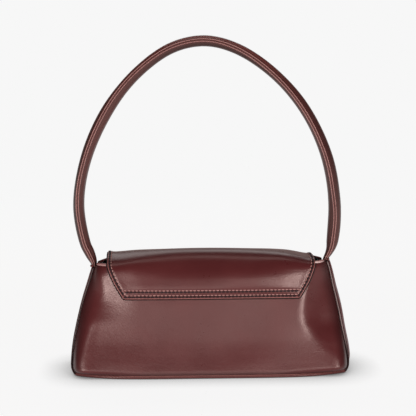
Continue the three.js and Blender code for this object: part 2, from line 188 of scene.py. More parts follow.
# Soft forms of the big panels: each end leans back a little, then turns at a line, as (height, value)
RIGHT_BEND = {
    "line": [
        (0, 129), (18, 126), (25, 122), (32, 113), (39, 101.5), (48, 95.5), (55, 92.2), (61, 91.4),
        (73, 92.6), (81, 94.2), (89, 96.5), (105, 104),
    ],
    "width": [
        (0, 12), (18, 16), (25, 26), (32, 34), (39, 24), (48, 17), (61, 16), (82, 14), (95, 10), (105, 8),
    ],
    "share": [
        (0, 0.25), (18, 0.3), (25, 0.4), (32, 0.4), (39, 0.5), (48, 0.8), (60, 0.95), (82, 0.97), (95, 0.8),
        (105, 0.3),
    ],
    "rise": [(0, 0.0), (43, 0.3), (60, 0.6), (82, 0.4), (105, 0.0)],
    "flatness": [(0, 44), (18, 40), (45, 30), (105, 14)],
    "lean": [(0, 0.0), (105, 0.0)],
}
LEFT_BEND = {
    "line": [
        (0, 127), (18, 126), (29, 124.8), (39, 123.5), (48, 122), (55, 120), (61, 117.4), (67, 113.6),
        (73, 110), (80, 109), (91, 112), (105, 116),
    ],
    "width": [
        (0, 11), (18, 12), (29, 14), (39, 16), (48, 20), (61, 24), (67, 22), (73, 18), (80, 14), (91, 12),
        (105, 9),
    ],
    "share": [
        (0, 0.25), (18, 0.25), (29, 0.5), (48, 0.85), (61, 0.95), (70, 0.98), (90, 0.95), (98, 0.7),
        (105, 0.3),
    ],
    "rise": [(0, 0.0), (45, 0.0), (62, 0.3), (80, 0.4), (105, 0.0)],
    "flatness": [(0, 46), (20, 44), (40, 30), (70, 16), (105, 11)],
    "lean": [
        (0, 0.0), (15, 0.01), (30, 0.025), (45, 0.05), (56, 0.075), (66, 0.135), (74, 0.175), (90, 0.175),
        (105, 0.07),
    ],
}
FRONT_BEND = {
    "line": [(0, 116), (40, 104), (80, 96), (105, 105)],
    "width": [(0, 50), (60, 40), (105, 16)],
    "share": [(0, 0.0), (25, 0.3), (80, 0.45), (105, 0.2)],
    "rise": [(0, 0.0), (50, 0.4), (105, 0.0)],
    "flatness": [(0, 5.1), (50, 9), (105, 11)],
    "lean": [(0, 0.0), (105, 0.0)],
}
BEND_START = 45  # where a panel starts to rise towards its bend
LEAN_START = 70  # where it starts to lean back
LEAN_REACH = 34
# A long hollow across the rear panel, and how far from the seams it ends
WAIST = [
    (0, 0.0), (14, 1.1), (24, 1.95), (34, 2.5), (44, 2.5), (56, 2.1), (72, 1.2), (88, 0.4), (105, 0.0),
]
WAIST_FADE = 24
CORNER_ROUND = 1.2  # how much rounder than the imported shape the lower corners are
CORNER_SPAN = (95, 135)
CORNER_RISE = (1, 8.5)
SIDE_TUCK = 1.1  # how far a panel draws in beside its side seams, and above its base seam
SIDE_TUCK_WIDTH = 5
BASE_TUCK = 0.9
BASE_TUCK_TOP = 7
BASE_TUCK_HEIGHT = 5.5
DRIFT = 0.5  # height of the leather's slow unevenness, and the size of its waves
DRIFT_WAVE = (46, 34)
DRIFT_MARGIN = 14
DRIFT_RISE = (3, 16)
DRIFT_TOP = 104
DRIFT_FALL = 10
REAR_SEED = 3.7
FRONT_SEED = 9.1


def turned(x, start, width):
    """How far a line has fallen at x if its slope grows smoothly from 0 to 1 over a width."""
    share = clamp((x - start) / width)
    return width * (share ** 3 - share ** 4 / 2) + max(0.0, x - start - width)


def panel_fall(x, z, bend):
    """How far a panel has fallen back at x from its middle: level up to its bend, then down to the seam."""
    end = seam_x(z)
    fall = middle_y(z) - seam_y(z)
    line, width, share, rise, flatness, lean = (spline(knots, z) for knots in bend.values())
    slope = (fall * share + rise - lean * (end - LEAN_START - LEAN_REACH / 3)) / (end - line)
    led = clamp((x - LEAN_START) / LEAN_REACH)
    leant = lean * (LEAN_REACH * (led ** 2 - led ** 3 / 3) + max(0.0, x - LEAN_START - LEAN_REACH))
    bent = slope * turned(x, line - width / 2, width) + leant
    lift = rise * clamp((x - BEND_START) / (line - BEND_START)) ** 2
    rounded = fall * (1 - share) * min(1.0, x / end) ** flatness
    return bent + rounded - lift


def seam_tuck(x, z):
    """How far a panel draws in beside its side seams and its base seam."""
    side = SIDE_TUCK * smooth(SIDE_TUCK_WIDTH - (seam_x(z) - abs(x)), 0, SIDE_TUCK_WIDTH)
    base = BASE_TUCK * smooth(BASE_TUCK_TOP - z, 0, BASE_TUCK_HEIGHT)
    return max(side, base)


def drift(x, z, seed):
    """Slow unevenness of the leather, none beside its seams."""
    free = smooth(seam_x(z) - abs(x), 0, DRIFT_MARGIN) * smooth(z, *DRIFT_RISE)
    wave = noise.noise(Vector((x / DRIFT_WAVE[0], seed, z / DRIFT_WAVE[1])))
    return DRIFT * wave * free * smooth(DRIFT_TOP - z, 0, DRIFT_FALL)


def rear_face(x, z):
    """Distance of the rear panel's outer face from the middle plane, with its bends and hollows."""
    fall = panel_fall(abs(x), z, RIGHT_BEND if x > 0 else LEFT_BEND)
    waist = spline(WAIST, z) * smooth(seam_x(z) - abs(x), 0, WAIST_FADE)
    face = middle_y(z) - fall - waist + drift(x, z, REAR_SEED)
    over = max(0.0, face - panel_y(x, z) + CORNER_ROUND * smooth(abs(x), *CORNER_SPAN))
    return face - over * (1 - smooth(z, *CORNER_RISE)) - seam_tuck(x, z)


def front_face(x, z):
    """The same for the front panel, which the flap's drop keeps flatter."""
    face = middle_y(z) - panel_fall(abs(x), z, FRONT_BEND) + drift(x, z, FRONT_SEED)
    return face - seam_tuck(x, z)


# The mouth's edges are drawn up beside the handle's feet, less at the front, where they sag at the corners.
# -1 is the left end and 1 the right
MOUTH_LIFT = {-1: 3.4, 1: 4.9}
LIFT_START = {-1: 92, 1: 97}
LIFT_END = 104
CORNER_LIFT = {-1: 0.6, 1: 5.4}
CORNER_TURN = (114.5, 117.5)
FRONT_SHARE = {-1: 0.9, 1: 0.82}
FRONT_SAG = {-1: 1.8, 1: 1.0}
SAG_SPAN = (103, 115)
FRONT_TURN = (-4, 4)
LIFT_RISE = (82, 105)


def mouth_lift(x, y, z):
    """How far the body's top edge is drawn up at a place round the mouth."""
    side = 1 if x > 0 else -1
    drawn = MOUTH_LIFT[side] * smooth(abs(x), LIFT_START[side], LIFT_END)
    lift = lerp(drawn, CORNER_LIFT[side], smooth(abs(x), *CORNER_TURN))
    sagged = lift * FRONT_SHARE[side] - FRONT_SAG[side] * smooth(abs(x), *SAG_SPAN)
    return lerp(lift, sagged, smooth(y, *FRONT_TURN)) * smooth(z, *LIFT_RISE)


def drawn_up(x, y, z):
    """A place on the body, drawn up if it is at the mouth."""
    return Vector((x, y, z + mouth_lift(x, y, z)))


# Flap, as a profile in the plane across the bag
SNAP_LEAN = math.atan2(middle_y(SNAP_HEIGHT - 1) - middle_y(SNAP_HEIGHT + 1), 2)
SNAP_TOP = SNAP_HEIGHT + SNAP_RADIUS + 3 * CLEARANCE
FOLD_STAND_OFF = 1.6
FOLD_REACH = 12
FOLD_Y = middle_y(FOLD_Z) + FOLD_STAND_OFF
ROOF_HALF = MOUTH_DEPTH / 2 + FOLD_STAND_OFF - FOLD_REACH
SEWN_STAND_OFF = 0.6


def drop_y(z):
    lean = math.tan(SNAP_LEAN) * (SNAP_HEIGHT - z)
    return middle_y(SNAP_HEIGHT) + lean + SNAP_STACK / math.cos(SNAP_LEAN)


def evenly(points, count):
    """A line through points as a count of equal steps, with both ends kept."""
    lengths = [0.0]
    for a, b in zip(points, points[1:]):
        lengths.append(lengths[-1] + (b - a).length)
    spaced = []
    k = 0
    for i in range(count + 1):
        at = lengths[-1] * i / count
        while k < len(points) - 2 and lengths[k + 1] < at:
            k += 1
        share = (at - lengths[k]) / max(1e-9, lengths[k + 1] - lengths[k])
        spaced.append(points[k].lerp(points[k + 1], clamp(share)))
    return spaced


def stepped(points, step):
    """The same with steps of about one length."""
    length = sum((b - a).length for a, b in zip(points, points[1:]))
    return evenly(points, max(1, round(length / step)))


def fold_curve(start, corner, end, steps=24):
    """Points of a fold that leaves start towards corner and arrives at end."""
    curve = []
    for i in range(1, steps + 1):
        share = i / steps
        curve.append(start.lerp(corner, share).lerp(corner.lerp(end, share), share))
    return curve


FLAP_BOW = 0.55  # how far the domed flap's rear drop swells
BOW_STEPS = 20
DOME_POWER = 2.6
DOME_STEPS = 60
FLAP_STEPS = 190


def flap_profile(domed):
    """The flap's inner face from sewn end to free end, with two plain folds or domed over the mouth."""
    rear = Vector((-middle_y(FLAP_REAR_EDGE) - SEWN_STAND_OFF, FLAP_REAR_EDGE))
    rear_fold = Vector((-FOLD_Y, FOLD_Z))
    front_fold = Vector((FOLD_Y, FOLD_Z))
    points = [rear]
    if domed:
        for i in range(1, BOW_STEPS):
            share = i / BOW_STEPS
            points.append(rear.lerp(rear_fold, share) - Vector((FLAP_BOW * 4 * share * (1 - share), 0)))
        for i in range(DOME_STEPS + 1):
            across = 2 * i / DOME_STEPS - 1
            fall = (ROOF_Z - FOLD_Z) * abs(across) ** DOME_POWER
            points.append(Vector((across * FOLD_Y, ROOF_Z - fall)))
    else:
        points += [rear_fold]
        points += fold_curve(rear_fold, Vector((-FOLD_Y, ROOF_Z)), Vector((-ROOF_HALF, ROOF_Z)))
        points += [Vector((ROOF_HALF, ROOF_Z))]
        points += fold_curve(points[-1], Vector((FOLD_Y, ROOF_Z)), front_fold)
    points += [Vector((drop_y(z), z)) for z in (SNAP_TOP, FLAP_FRONT_EDGE)]
    return evenly(points, FLAP_STEPS)


FLAP_LINE = flap_profile(False)
DOME_LINE = flap_profile(True)
FLAP_LENGTH = sum((b - a).length for a, b in zip(FLAP_LINE, FLAP_LINE[1:]))
FLAP_EASE = 6.5  # distance over which the profile's corners are rounded
END_EASE = 3.5  # the same at its right end, where the rim is drawn up under it
END_SPAN = (86, 100)
RUN_REACH = 3  # distance to each side over which the profile's direction is taken
DOME_FADE = (30, 94)


def along_profile(line, s):
    """Point of a profile at a distance from the flap's sewn end."""
    at = clamp(s / FLAP_LENGTH) * FLAP_STEPS
    k = min(FLAP_STEPS - 1, int(at))
    return line[k].lerp(line[k + 1], at - k)


def flap_line(s, dome):
    return along_profile(FLAP_LINE, s).lerp(along_profile(DOME_LINE, s), dome)


def flap_dome(x):
    """The flap is domed in its middle and plainly folded at its sides."""
    return 1 - smooth(abs(x), *DOME_FADE)


def flap_spot(s, x):
    """Rounded profile point and its direction."""
    dome = flap_dome(x)
    ease = lerp(FLAP_EASE, END_EASE, smooth(x, *END_SPAN))
    reach = min(ease, s, FLAP_LENGTH - s)
    before = flap_line(s - reach, dome)
    after = flap_line(s + reach, dome)
    spot = flap_line(s, dome) * 0.5 + (before + after) * 0.25
    near = max(0.0, s - RUN_REACH)
    far = min(FLAP_LENGTH, s + RUN_REACH)
    return spot, (flap_line(far, dome) - flap_line(near, dome)).normalized()


def flap_half(s):
    """Half width of the flap at a distance along it."""
    cut = (1 - clamp(min(s, FLAP_LENGTH - s) / FLAP_CORNER)) ** FLAP_CORNER_BEND
    return lerp(FLAP_WIDTH, FLAP_EDGE_WIDTH, cut) / 2


# The roof's rise from end to end, as (x, rise)
ROOF_TRIM = [
    (-103, 2.2), (-99, 1.2), (-89, 0.2), (-69, 0.3), (-40, 0.4), (40, 0.0), (60, 0.0), (70, -0.3),
    (80, -0.9), (90, -1.9), (98, -2.5), (103, -1.9),
]
ROOF_SLUMP = 4.6  # how far the roof's rear edge sinks at its left end
SLUMP_START = 20
SLUMP_REACH = 85
SLUMP_POWER = 1.5
FLAP_SINK = 0.7  # how far the rear drop hollows towards its fold
FLAP_SINK_LEFT = 1.0  # how much more it does at its left end
SINK_LEFT_SPAN = (20, 85)
SINK_START = (0, 22)
SINK_END = (40, 70)
FLAP_PUFF = 2.2  # a soft swelling of the rear drop, right of its middle: middle and width across and along
PUFF_ACROSS = (44, 36)
PUFF_ALONG = (26, 20)
PUFF_START = (1, 7)
HELD_HALF = 74  # beyond this the flap's sewn end follows the panel's bends less
HELD_SHARE = 0.2
SEWN_FADE = (5, 22)
CUT_REACH = 0.5


def flap_puff(s, x):
    return FLAP_PUFF * bell(x, *PUFF_ACROSS) * bell(s, *PUFF_ALONG) * smooth(s, *PUFF_START)


def flap_point(s, x, height):
    """Point at a height above the flap's inner face."""
    spot, run = flap_spot(s, x)
    sink = FLAP_SINK * (1 + FLAP_SINK_LEFT * smooth(-x, *SINK_LEFT_SPAN))
    height += flap_puff(s, x) - sink * smooth(s, *SINK_START) * (1 - smooth(s, *SINK_END))
    bow = 1 - (x / (FLAP_WIDTH / 2)) ** 2
    slump = ROOF_SLUMP * clamp((-x - SLUMP_START) / SLUMP_REACH) ** SLUMP_POWER * clamp(-spot.x / FOLD_Y)
    crown = (FLAP_CROWN * bow + spline(ROOF_TRIM, x) - slump) * smooth(spot.y, FOLD_Z, ROOF_Z)
    held = min(abs(x), HELD_HALF + HELD_SHARE * max(0.0, abs(x) - HELD_HALF))
    follow = rear_face(math.copysign(held, x), spot.y) - middle_y(spot.y)
    sewn = (1 - smooth(s, *SEWN_FADE)) * follow
    return Vector((x, spot.x - sewn - run.y * height, spot.y + run.x * height + crown))


def cut_stretch(s):
    """How much further a margin reaches along x than square to the edge, on the cut corners."""
    low = clamp(s - CUT_REACH, 0, FLAP_LENGTH)
    high = clamp(s + CUT_REACH, 0, FLAP_LENGTH)
    return math.hypot(1, (flap_half(high) - flap_half(low)) / (high - low))


def flap_side(s, x):
    """Distance from the flap's nearest side edge."""
    return (flap_half(s) - abs(x)) / cut_stretch(s)


def flap_end(s):
    """Distance from its nearest straight end."""
    return min(s, FLAP_LENGTH - s)


def flap_border(s, x):
    """Distance from its nearest edge of all."""
    return max(0.0, min(flap_side(s, x), flap_end(s)))


# Sewing on the flap, and the borders over which the leather is pressed thin for it
STITCH_MARGIN = 3.2
STITCH_ROW_GAP = 5.0
STITCH_PITCH = 3.8
FLAP_EDGE_HEIGHT = 2.3
PRESSED_END = (4.2, 11)
PRESSED_SIDE = (3.5, 26)
GROOVE_WIDTH = 0.75
GROOVE_DEPTH = 0.4
ROW_START = (3, 4.4)


def flap_height(s, x):
    """Height of the flap's leather above its inner face: pressed thin at the sewn edges."""
    border = flap_border(s, x)
    full = smooth(flap_end(s), *PRESSED_END) * smooth(flap_side(s, x), *PRESSED_SIDE)
    groove = bell(border, STITCH_MARGIN, GROOVE_WIDTH)
    row = bell(flap_end(s), STITCH_MARGIN + STITCH_ROW_GAP, GROOVE_WIDTH)
    groove = max(groove, row * smooth(border, *ROW_START))
    return lerp(FLAP_EDGE_HEIGHT, FLAP_THICKNESS, full) - GROOVE_DEPTH * groove


def flap_skin(s, x):
    return flap_point(s, x, flap_height(s, x))


def flap_normal(s, x):
    reach = 0.6
    low = max(0.0, s - reach)
    high = min(FLAP_LENGTH, s + reach)
    across = flap_point(s, x + reach, FLAP_EDGE_HEIGHT) - flap_point(s, x - reach, FLAP_EDGE_HEIGHT)
    along = flap_point(high, x, FLAP_EDGE_HEIGHT) - flap_point(low, x, FLAP_EDGE_HEIGHT)
    return across.cross(along).normalized()


def flap_edges(margin):
    """The flap's four edges as lines in (distance along, x), drawn in by a margin."""
    steps = 80
    right = []
    for i in range(steps + 1):
        s = lerp(margin, FLAP_LENGTH - margin, i / steps)
        right.append(Vector((s, flap_half(s) - margin * cut_stretch(s))))
    left = [Vector((spot.x, -spot.y)) for spot in reversed(right)]
    return [right, [right[-1], left[0]], left, [left[-1], right[0]]]


# Rolled handle's centre line, from the left foot to the right, as shares of its spread and rise
ARCH_SHARES = [
    (-0.953, 0.06), (-1.0, 0.245), (-0.935, 0.47), (-0.765, 0.692), (-0.547, 0.855), (-0.292, 0.966),
    (-0.05, 0.998), (0.185, 0.965), (0.458, 0.858), (0.703, 0.692), (0.88, 0.47), (0.947, 0.245),
    (0.933, 0.06),
]
FOOT_END = 99  # the feet reach down between the rims, inside their tabs
LEFT_FOOT = [
    (117.9, FOOT_END), (116.8, 104), (117.0, 108), (117.9, 111.5), (119.7, 115.5), (121.8, 120.5),
]
RIGHT_FOOT = [
    (117.9, FOOT_END), (116.6, 104), (115.0, 108), (115.6, 110.8), (118.0, 114.8), (120.9, 121),
]
STATION_GAP = 3.0
# Widths of the two arms and the depth of both, as (height, size)
LEFT_ARM_WIDTH = [
    (FOOT_END, 2.4), (103, 3.6), (107.6, 5.6), (113.6, 8.9), (120, 10.6), (127, 11), (200, 11),
    (222, 11.5), (240, 12), (262, 12.1), (282, 11.2), (340, 11),
]
RIGHT_ARM_WIDTH = [
    (FOOT_END, 2.4), (103, 3.4), (109.7, 4.6), (114.5, 6.0), (121.4, 9.0), (128, 11.8), (134, 12.6),
    (165, 12.8), (180, 12.3), (210, 12), (228, 11.4), (245, 11), (275, 10.8), (292, 10.4), (308, 10.6),
    (340, 11),
]
ARM_DEPTH = [(FOOT_END, 4.6), (104, 6.0), (115, 7.4), (124, 9.6), (134, 11), (340, 11)]


def arch_line():
    """The handle's centre line in (x, z), with its points evenly apart."""
    points = [Vector((-x, z)) for x, z in LEFT_FOOT]
    points += [Vector((x * HANDLE_SPREAD, PIVOT_Z + z * HANDLE_RISE)) for x, z in ARCH_SHARES]
    points += [Vector(spot) for spot in reversed(RIGHT_FOOT)]
    at = 0.0
    knots_x = []
    knots_z = []
    for i, point in enumerate(points):
        if i > 0:
            at += math.sqrt((point - points[i - 1]).length)
        knots_x.append((at, point.x))
        knots_z.append((at, point.y))
    fine = 600
    line = []
    for i in range(fine + 1):
        spot = at * i / fine
        line.append(Vector((spline(knots_x, spot), spline(knots_z, spot))))
    return stepped(line, STATION_GAP)


# Mesh helpers


def new_grid(columns, rows):
    """A flat grid from -1 to 1 both ways, with its own UV map."""
    bm = bmesh.new()
    bm.loops.layers.uv.new("UVMap")
    bmesh.ops.create_grid(bm, x_segments=columns, y_segments=rows, size=1, calc_uvs=True)
    return bm


def to_metres(bm):
    bmesh.ops.scale(bm, vec=(MM, MM, MM), verts=bm.verts)


def face_to(bm, way):
    """Turns an open sheet so that most of it faces a way."""
    total = Vector()
    for face in bm.faces:
        face.normal_update()
        total += face.normal * face.calc_area()
    if total.dot(Vector(way)) < 0:
        bmesh.ops.reverse_faces(bm, faces=bm.faces)


def sheet_mesh(columns, rows, place, way, edge=None):
    """A grid laid by place(u, v), u from -1 to 1 and v from 0 to 1, in millimetres.
    edge(u, v) is kept on its points as the "seam" attribute, where the leather lays its painted shade and
    painted light."""
    bm = new_grid(columns, rows)
    seam = bm.verts.layers.float.new("seam")
    for vert in bm.verts:
        u = vert.co.x
        v = (vert.co.y + 1) / 2
        vert.co = place(u, v)
        vert[seam] = edge(u, v) if edge else 0.0
    to_metres(bm)
    face_to(bm, way)
    return bm


def rolled_mesh(stations, around, place, closed=False, weld=1e-7):
    """A grid rolled up: place(i, k) is its point at station i and step k round it. weld is in metres."""
    bm = new_grid(stations, around)
    for vert in bm.verts:
        i = round((vert.co.x + 1) / 2 * stations)
        k = round((vert.co.y + 1) / 2 * around) % around
        vert.co = place(i % stations if closed else i, k)
    to_metres(bm)
    bmesh.ops.remove_doubles(bm, verts=bm.verts, dist=weld)
    return bm


def tube_mesh(stations, around, place, closed=False):
    """A grid rolled into a tube, with its ends filled unless it is a ring."""
    bm = rolled_mesh(stations, around, place, closed)
    if not closed:
        rims = [edge for edge in bm.edges if edge.is_boundary]
        bmesh.ops.holes_fill(bm, edges=rims, sides=0)
    bmesh.ops.recalc_face_normals(bm, faces=bm.faces)
    return bm


def cord_mesh(points, radii, around, closed=False):
    """A tube of round section along points, with a radius at each."""
    last = len(points) - 1
    frames = []
    side = Vector((0, 0, 1))
    for i, point in enumerate(points):
        ahead = points[(i + 1) % len(points)] if closed else points[min(last, i + 1)]
        behind = points[i - 1] if closed else points[max(0, i - 1)]
        run = (ahead - behind).normalized()
        side = (side - run * side.dot(run)).normalized()
        frames.append((point, side, run.cross(side)))

    def place(i, k):
        angle = 2 * math.pi * k / around
        centre, side, up = frames[i]
        return centre + (side * math.cos(angle) + up * math.sin(angle)) * radii[i]

    return tube_mesh(len(points) if closed else last, around, place, closed)


def turned_mesh(profile, steps):
    """A profile of (radius, height) turned about Z, in millimetres, closed on the axis or as a ring."""
    bm = bmesh.new()
    verts = [bm.verts.new((radius, 0, height)) for radius, height in profile]
    edges = [bm.edges.new(pair) for pair in zip(verts, verts[1:])]
    bmesh.ops.spin(
        bm, geom=verts + edges, cent=(0, 0, 0), axis=(0, 0, 1), dvec=(0, 0, 0),
        angle=2 * math.pi, steps=steps, use_merge=True,
    )
    bmesh.ops.remove_doubles(bm, verts=bm.verts, dist=1e-4)
    bmesh.ops.recalc_face_normals(bm, faces=bm.faces)
    to_metres(bm)
    return bm


def link_object(name, data):
    obj = bpy.data.objects.new(name, data)
    scene.collection.objects.link(obj)
    return obj


def settle(bm):
    """Moves a piece of the body to where it has settled."""
    for vert in bm.verts:
        x, z = vert.co.x / MM, vert.co.z / MM
        vert.co.x += (spline(BODY_SHIFT, z) - spline(RIGHT_DRAW, z) * smooth(x, *RIGHT_DRAW_SPAN)) * MM
    return bm


def add_piece(bm, name, finishes, body=None, replaces=()):
    """Makes the mesh a piece of the bag, riding on a body if one is given."""
    mesh = bpy.data.meshes.new(name)
    bm.to_mesh(mesh)
    bm.free()
    mesh.shade_smooth()
    for finish in finishes:
        mesh.materials.append(finish)
    obj = link_object(name, mesh)
    if replaces:
        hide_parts(*replaces)
    if body:
        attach(obj, body)
    return obj


def thicken(obj, thickness, rim=0):
    """Gives a sheet its thickness inwards; rim is the step to the material of its cut edges."""
    wall = obj.modifiers.new("thickness", "SOLIDIFY")
    wall.thickness = thickness * MM
    wall.offset = -1
    wall.material_offset_rim = rim
    return obj


def soften(obj):
    """Rounds a piece once, in the view and in the render alike."""
    rounding = obj.modifiers.new("rounding", "SUBSURF")
    rounding.levels = 1
    rounding.render_levels = 1
    return obj


def add_body_leather(bm, name, finish, replaces=(), thickness=None):
    """A settled leather piece of the body, thickened if it is a sheet."""
    piece = add_piece(settle(bm), name, [finish], "bag", replaces=replaces)
    if thickness:
        thicken(piece, thickness)
    return soften(piece)


# Finishes


def srgb(colour):
    """A colour written as it looks on a screen, 0 to 255, as a node's colour."""
    values = []
    for part in colour:
        part /= 255
        values.append(part / 12.92 if part <= 0.04045 else ((part + 0.055) / 1.055) ** 2.4)
    return (*values, 1.0)


def put(tree, socket, value):
    """Links a socket to another node's output, or sets it."""
    if isinstance(value, bpy.types.NodeSocket):
        tree.links.new(value, socket)
    else:
        socket.default_value = value


def add_node(tree, kind, inputs=None, **settings):
    """Adds a node with its settings, and links or sets its inputs."""
    made = tree.nodes.new(kind)
    for key, value in settings.items():
        setattr(made, key, value)
    for key, value in (inputs or {}).items():
        put(tree, made.inputs[key], value)
    return made


def object_place(tree):
    return add_node(tree, "ShaderNodeTexCoord").outputs["Object"]


def mix_colour(tree, share, first, second):
    """A mix of two colours by a share, whose sockets a Mix node keeps at these places for colours."""
    mixed = add_node(tree, "ShaderNodeMix", data_type="RGBA")
    for index, value in ((0, share), (6, first), (7, second)):
        put(tree, mixed.inputs[index], value)
    return mixed.outputs[2]


def calculate(tree, operation, first, second):
    made = add_node(tree, "ShaderNodeMath", {0: first, 1: second}, operation=operation)
    return made.outputs[0]


def remap(tree, value, low, high, new_low, new_high):
    made = add_node(tree, "ShaderNodeMapRange", {
        "Value": value, "From Min": low, "From Max": high, "To Min": new_low, "To Max": new_high,
    })
    return made.outputs[0]


def leather_group():
    """Fine grain, faint wrinkles and cloudy dye of a smooth finished hide."""
    tree = bpy.data.node_groups.new("smooth_hide", "ShaderNodeTree")
    sockets = tree.interface
    for name, value in (("Pore Scale", 1250.0), ("Wrinkle Scale", 240.0), ("Cloud Scale", 26.0)):
        socket = sockets.new_socket(name, in_out="INPUT", socket_type="NodeSocketFloat")
        socket.default_value = value
    for name in ("Height", "Cloud", "Polish"):
        sockets.new_socket(name, in_out="OUTPUT", socket_type="NodeSocketFloat")
    given = add_node(tree, "NodeGroupInput").outputs
    place = object_place(tree)
    pores = add_node(tree, "ShaderNodeTexVoronoi", {"Vector": place, "Scale": given["Pore Scale"]})
    wrinkles = add_node(tree, "ShaderNodeTexNoise", {
        "Vector": place, "Scale": given["Wrinkle Scale"], "Detail": 3.0, "Roughness": 0.6,
    })
    clouds = add_node(tree, "ShaderNodeTexNoise", {
        "Vector": place, "Scale": given["Cloud Scale"], "Detail": 4.0, "Roughness": 0.55,
    })
    fine = calculate(tree, "MULTIPLY", pores.outputs["Distance"], 0.55)
    soft = calculate(tree, "MULTIPLY", wrinkles.outputs[0], 0.9)
    height = calculate(tree, "ADD", fine, soft)
    worn = calculate(tree, "MULTIPLY", wrinkles.outputs[0], 0.5)
    polish = calculate(tree, "ADD", worn, clouds.outputs[0])
    result = add_node(tree, "NodeGroupOutput")
    tree.links.new(height, result.inputs["Height"])
    tree.links.new(clouds.outputs[0], result.inputs["Cloud"])
    tree.links.new(polish, result.inputs["Polish"])
    return tree


HIDE = leather_group()


def new_finish(name):
    finish = bpy.data.materials.new(name)
    finish.use_nodes = True
    tree = finish.node_tree
    shader = tree.nodes["Principled BSDF"]
    return finish, tree, shader


def feed(tree, shader, **inputs):
    """Links or sets the shader's sockets, named with underscores for spaces."""
    for key, value in inputs.items():
        put(tree, shader.inputs[key.replace("_", " ")], value)


def add_bump(tree, strength, distance, height):
    inputs = {"Strength": strength, "Distance": distance, "Height": height}
    return add_node(tree, "ShaderNodeBump", inputs).outputs[0]


GLAZE = (1.0, 0.76, 0.70, 1.0)  # the dyed glaze tints what it reflects


def leather(name, deep, pale, painted_light_colour, gloss, grain=0.18, pore=1250.0, coat=0.0, shine=0.5):
    """Dyed leather: cloudy between a deep and a pale tone, with a painted light colour laid over it where
    the
    "seam" attribute says: painted shade beside seams and stitches, painted highlights on crests, painted
    light on the handle."""
    finish, tree, shader = new_finish(name)
    hide = add_node(tree, "ShaderNodeGroup", {"Pore Scale": pore}, node_tree=HIDE).outputs
    share = remap(tree, hide["Cloud"], 0.3, 0.7, 0.0, 1.0)
    dyed = mix_colour(tree, share, srgb(deep), srgb(pale))
    seam = add_node(tree, "ShaderNodeAttribute", attribute_name="seam").outputs["Fac"]
    feed(
        tree, shader, Base_Color=mix_colour(tree, seam, dyed, srgb(painted_light_colour)),
        Roughness=remap(tree, hide["Polish"], 0.4, 1.1, gloss - 0.05, gloss + 0.06),
        Normal=add_bump(tree, grain, 0.0004, hide["Height"]),
        Specular_IOR_Level=shine, Specular_Tint=GLAZE, Coat_Weight=coat, Coat_Roughness=0.12,
    )
    return finish


def woven(name, deep, pale, threads, roughness, sheen):
    """Plain cloth: two crossed sets of threads on Object coordinates."""
    finish, tree, shader = new_finish(name)
    place = object_place(tree)
    sets = []
    for axis in ("X", "Z"):
        wave = add_node(tree, "ShaderNodeTexWave", {
            "Vector": place, "Scale": threads, "Distortion": 0.4, "Detail": 1.0,
        }, wave_type="BANDS", bands_direction=axis)
        sets.append(wave.outputs["Fac"])
    weave = calculate(tree, "MAXIMUM", sets[0], sets[1])
    patches = add_node(tree, "ShaderNodeTexNoise", {"Vector": place, "Scale": 60.0, "Detail": 3.0})
    mottle = patches.outputs[0]
    share = calculate(tree, "MULTIPLY", weave, mottle)
    feed(
        tree, shader, Base_Color=mix_colour(tree, share, srgb(deep), srgb(pale)),
        Roughness=remap(tree, mottle, 0.3, 0.7, roughness - 0.06, roughness + 0.06),
        Normal=add_bump(tree, 0.35, 0.0003, weave), Sheen_Weight=sheen,
    )
    return finish


def metal(name, deep, pale, roughness, scratch):
    """Polished metal with fine scratches and a cloudy tarnish."""
    finish, tree, shader = new_finish(name)
    place = object_place(tree)
    stretch = (scratch, scratch * 0.06, scratch)
    along = add_node(tree, "ShaderNodeMapping", {"Vector": place, "Scale": stretch}).outputs[0]
    noises = []
    for vector, scale, detail in ((along, 1.0, 4.0), (place, 180.0, 2.0)):
        inputs = {"Vector": vector, "Scale": scale, "Detail": detail}
        noises.append(add_node(tree, "ShaderNodeTexNoise", inputs).outputs[0])
    lines, cloud = noises
    feed(
        tree, shader, Base_Color=mix_colour(tree, cloud, srgb(deep), srgb(pale)), Metallic=1.0,
        Roughness=remap(tree, lines, 0.3, 0.7, roughness - 0.06, roughness + 0.08),
        Normal=add_bump(tree, 0.05, 0.0002, lines),
    )
    return finish


def fibrous(name, deep, pale, scale, roughness):
    """Matt fibres, as board, thread and cord have."""
    finish, tree, shader = new_finish(name)
    fibres = add_node(tree, "ShaderNodeTexNoise", {
        "Vector": object_place(tree), "Scale": scale, "Detail": 5.0, "Roughness": 0.7, "Distortion": 1.2,
    }).outputs[0]
    share = remap(tree, fibres, 0.3, 0.7, 0.0, 1.0)
    feed(
        tree, shader, Base_Color=mix_colour(tree, share, srgb(deep), srgb(pale)),
        Roughness=remap(tree, fibres, 0.2, 0.8, roughness - 0.08, roughness + 0.08),
        Normal=add_bump(tree, 0.3, 0.0003, fibres),
    )
    return finish


# oxblood's third colour is painted shade beside the seams and along the flap's stitches
oxblood = leather("oxblood_leather", (79, 31, 32), (87, 35, 36), (56, 22, 23), 0.30, 0.17, pore=760.0)
# Near-black beside the gusset's seams: a painted shadow in the gap beside the piping
oxblood_gusset = leather(
    "oxblood_gusset", (92, 39, 40), (100, 43, 43), (26, 10, 11), 0.42, shine=0.25,
)
# The handle's own tones are near-black, as painted shade; its third colour is painted light on its lit
# flanks and top
oxblood_handle = leather("oxblood_handle", (28, 14, 13), (36, 18, 17), (108, 57, 53), 0.34)
glued_seam = leather("glued_seam", (74, 37, 35), (82, 42, 39), (74, 37, 35), 0.5)
ridge_paint = leather("ridge_paint", (146, 98, 93), (160, 112, 106), (146, 98, 93), 0.4, 0.05)
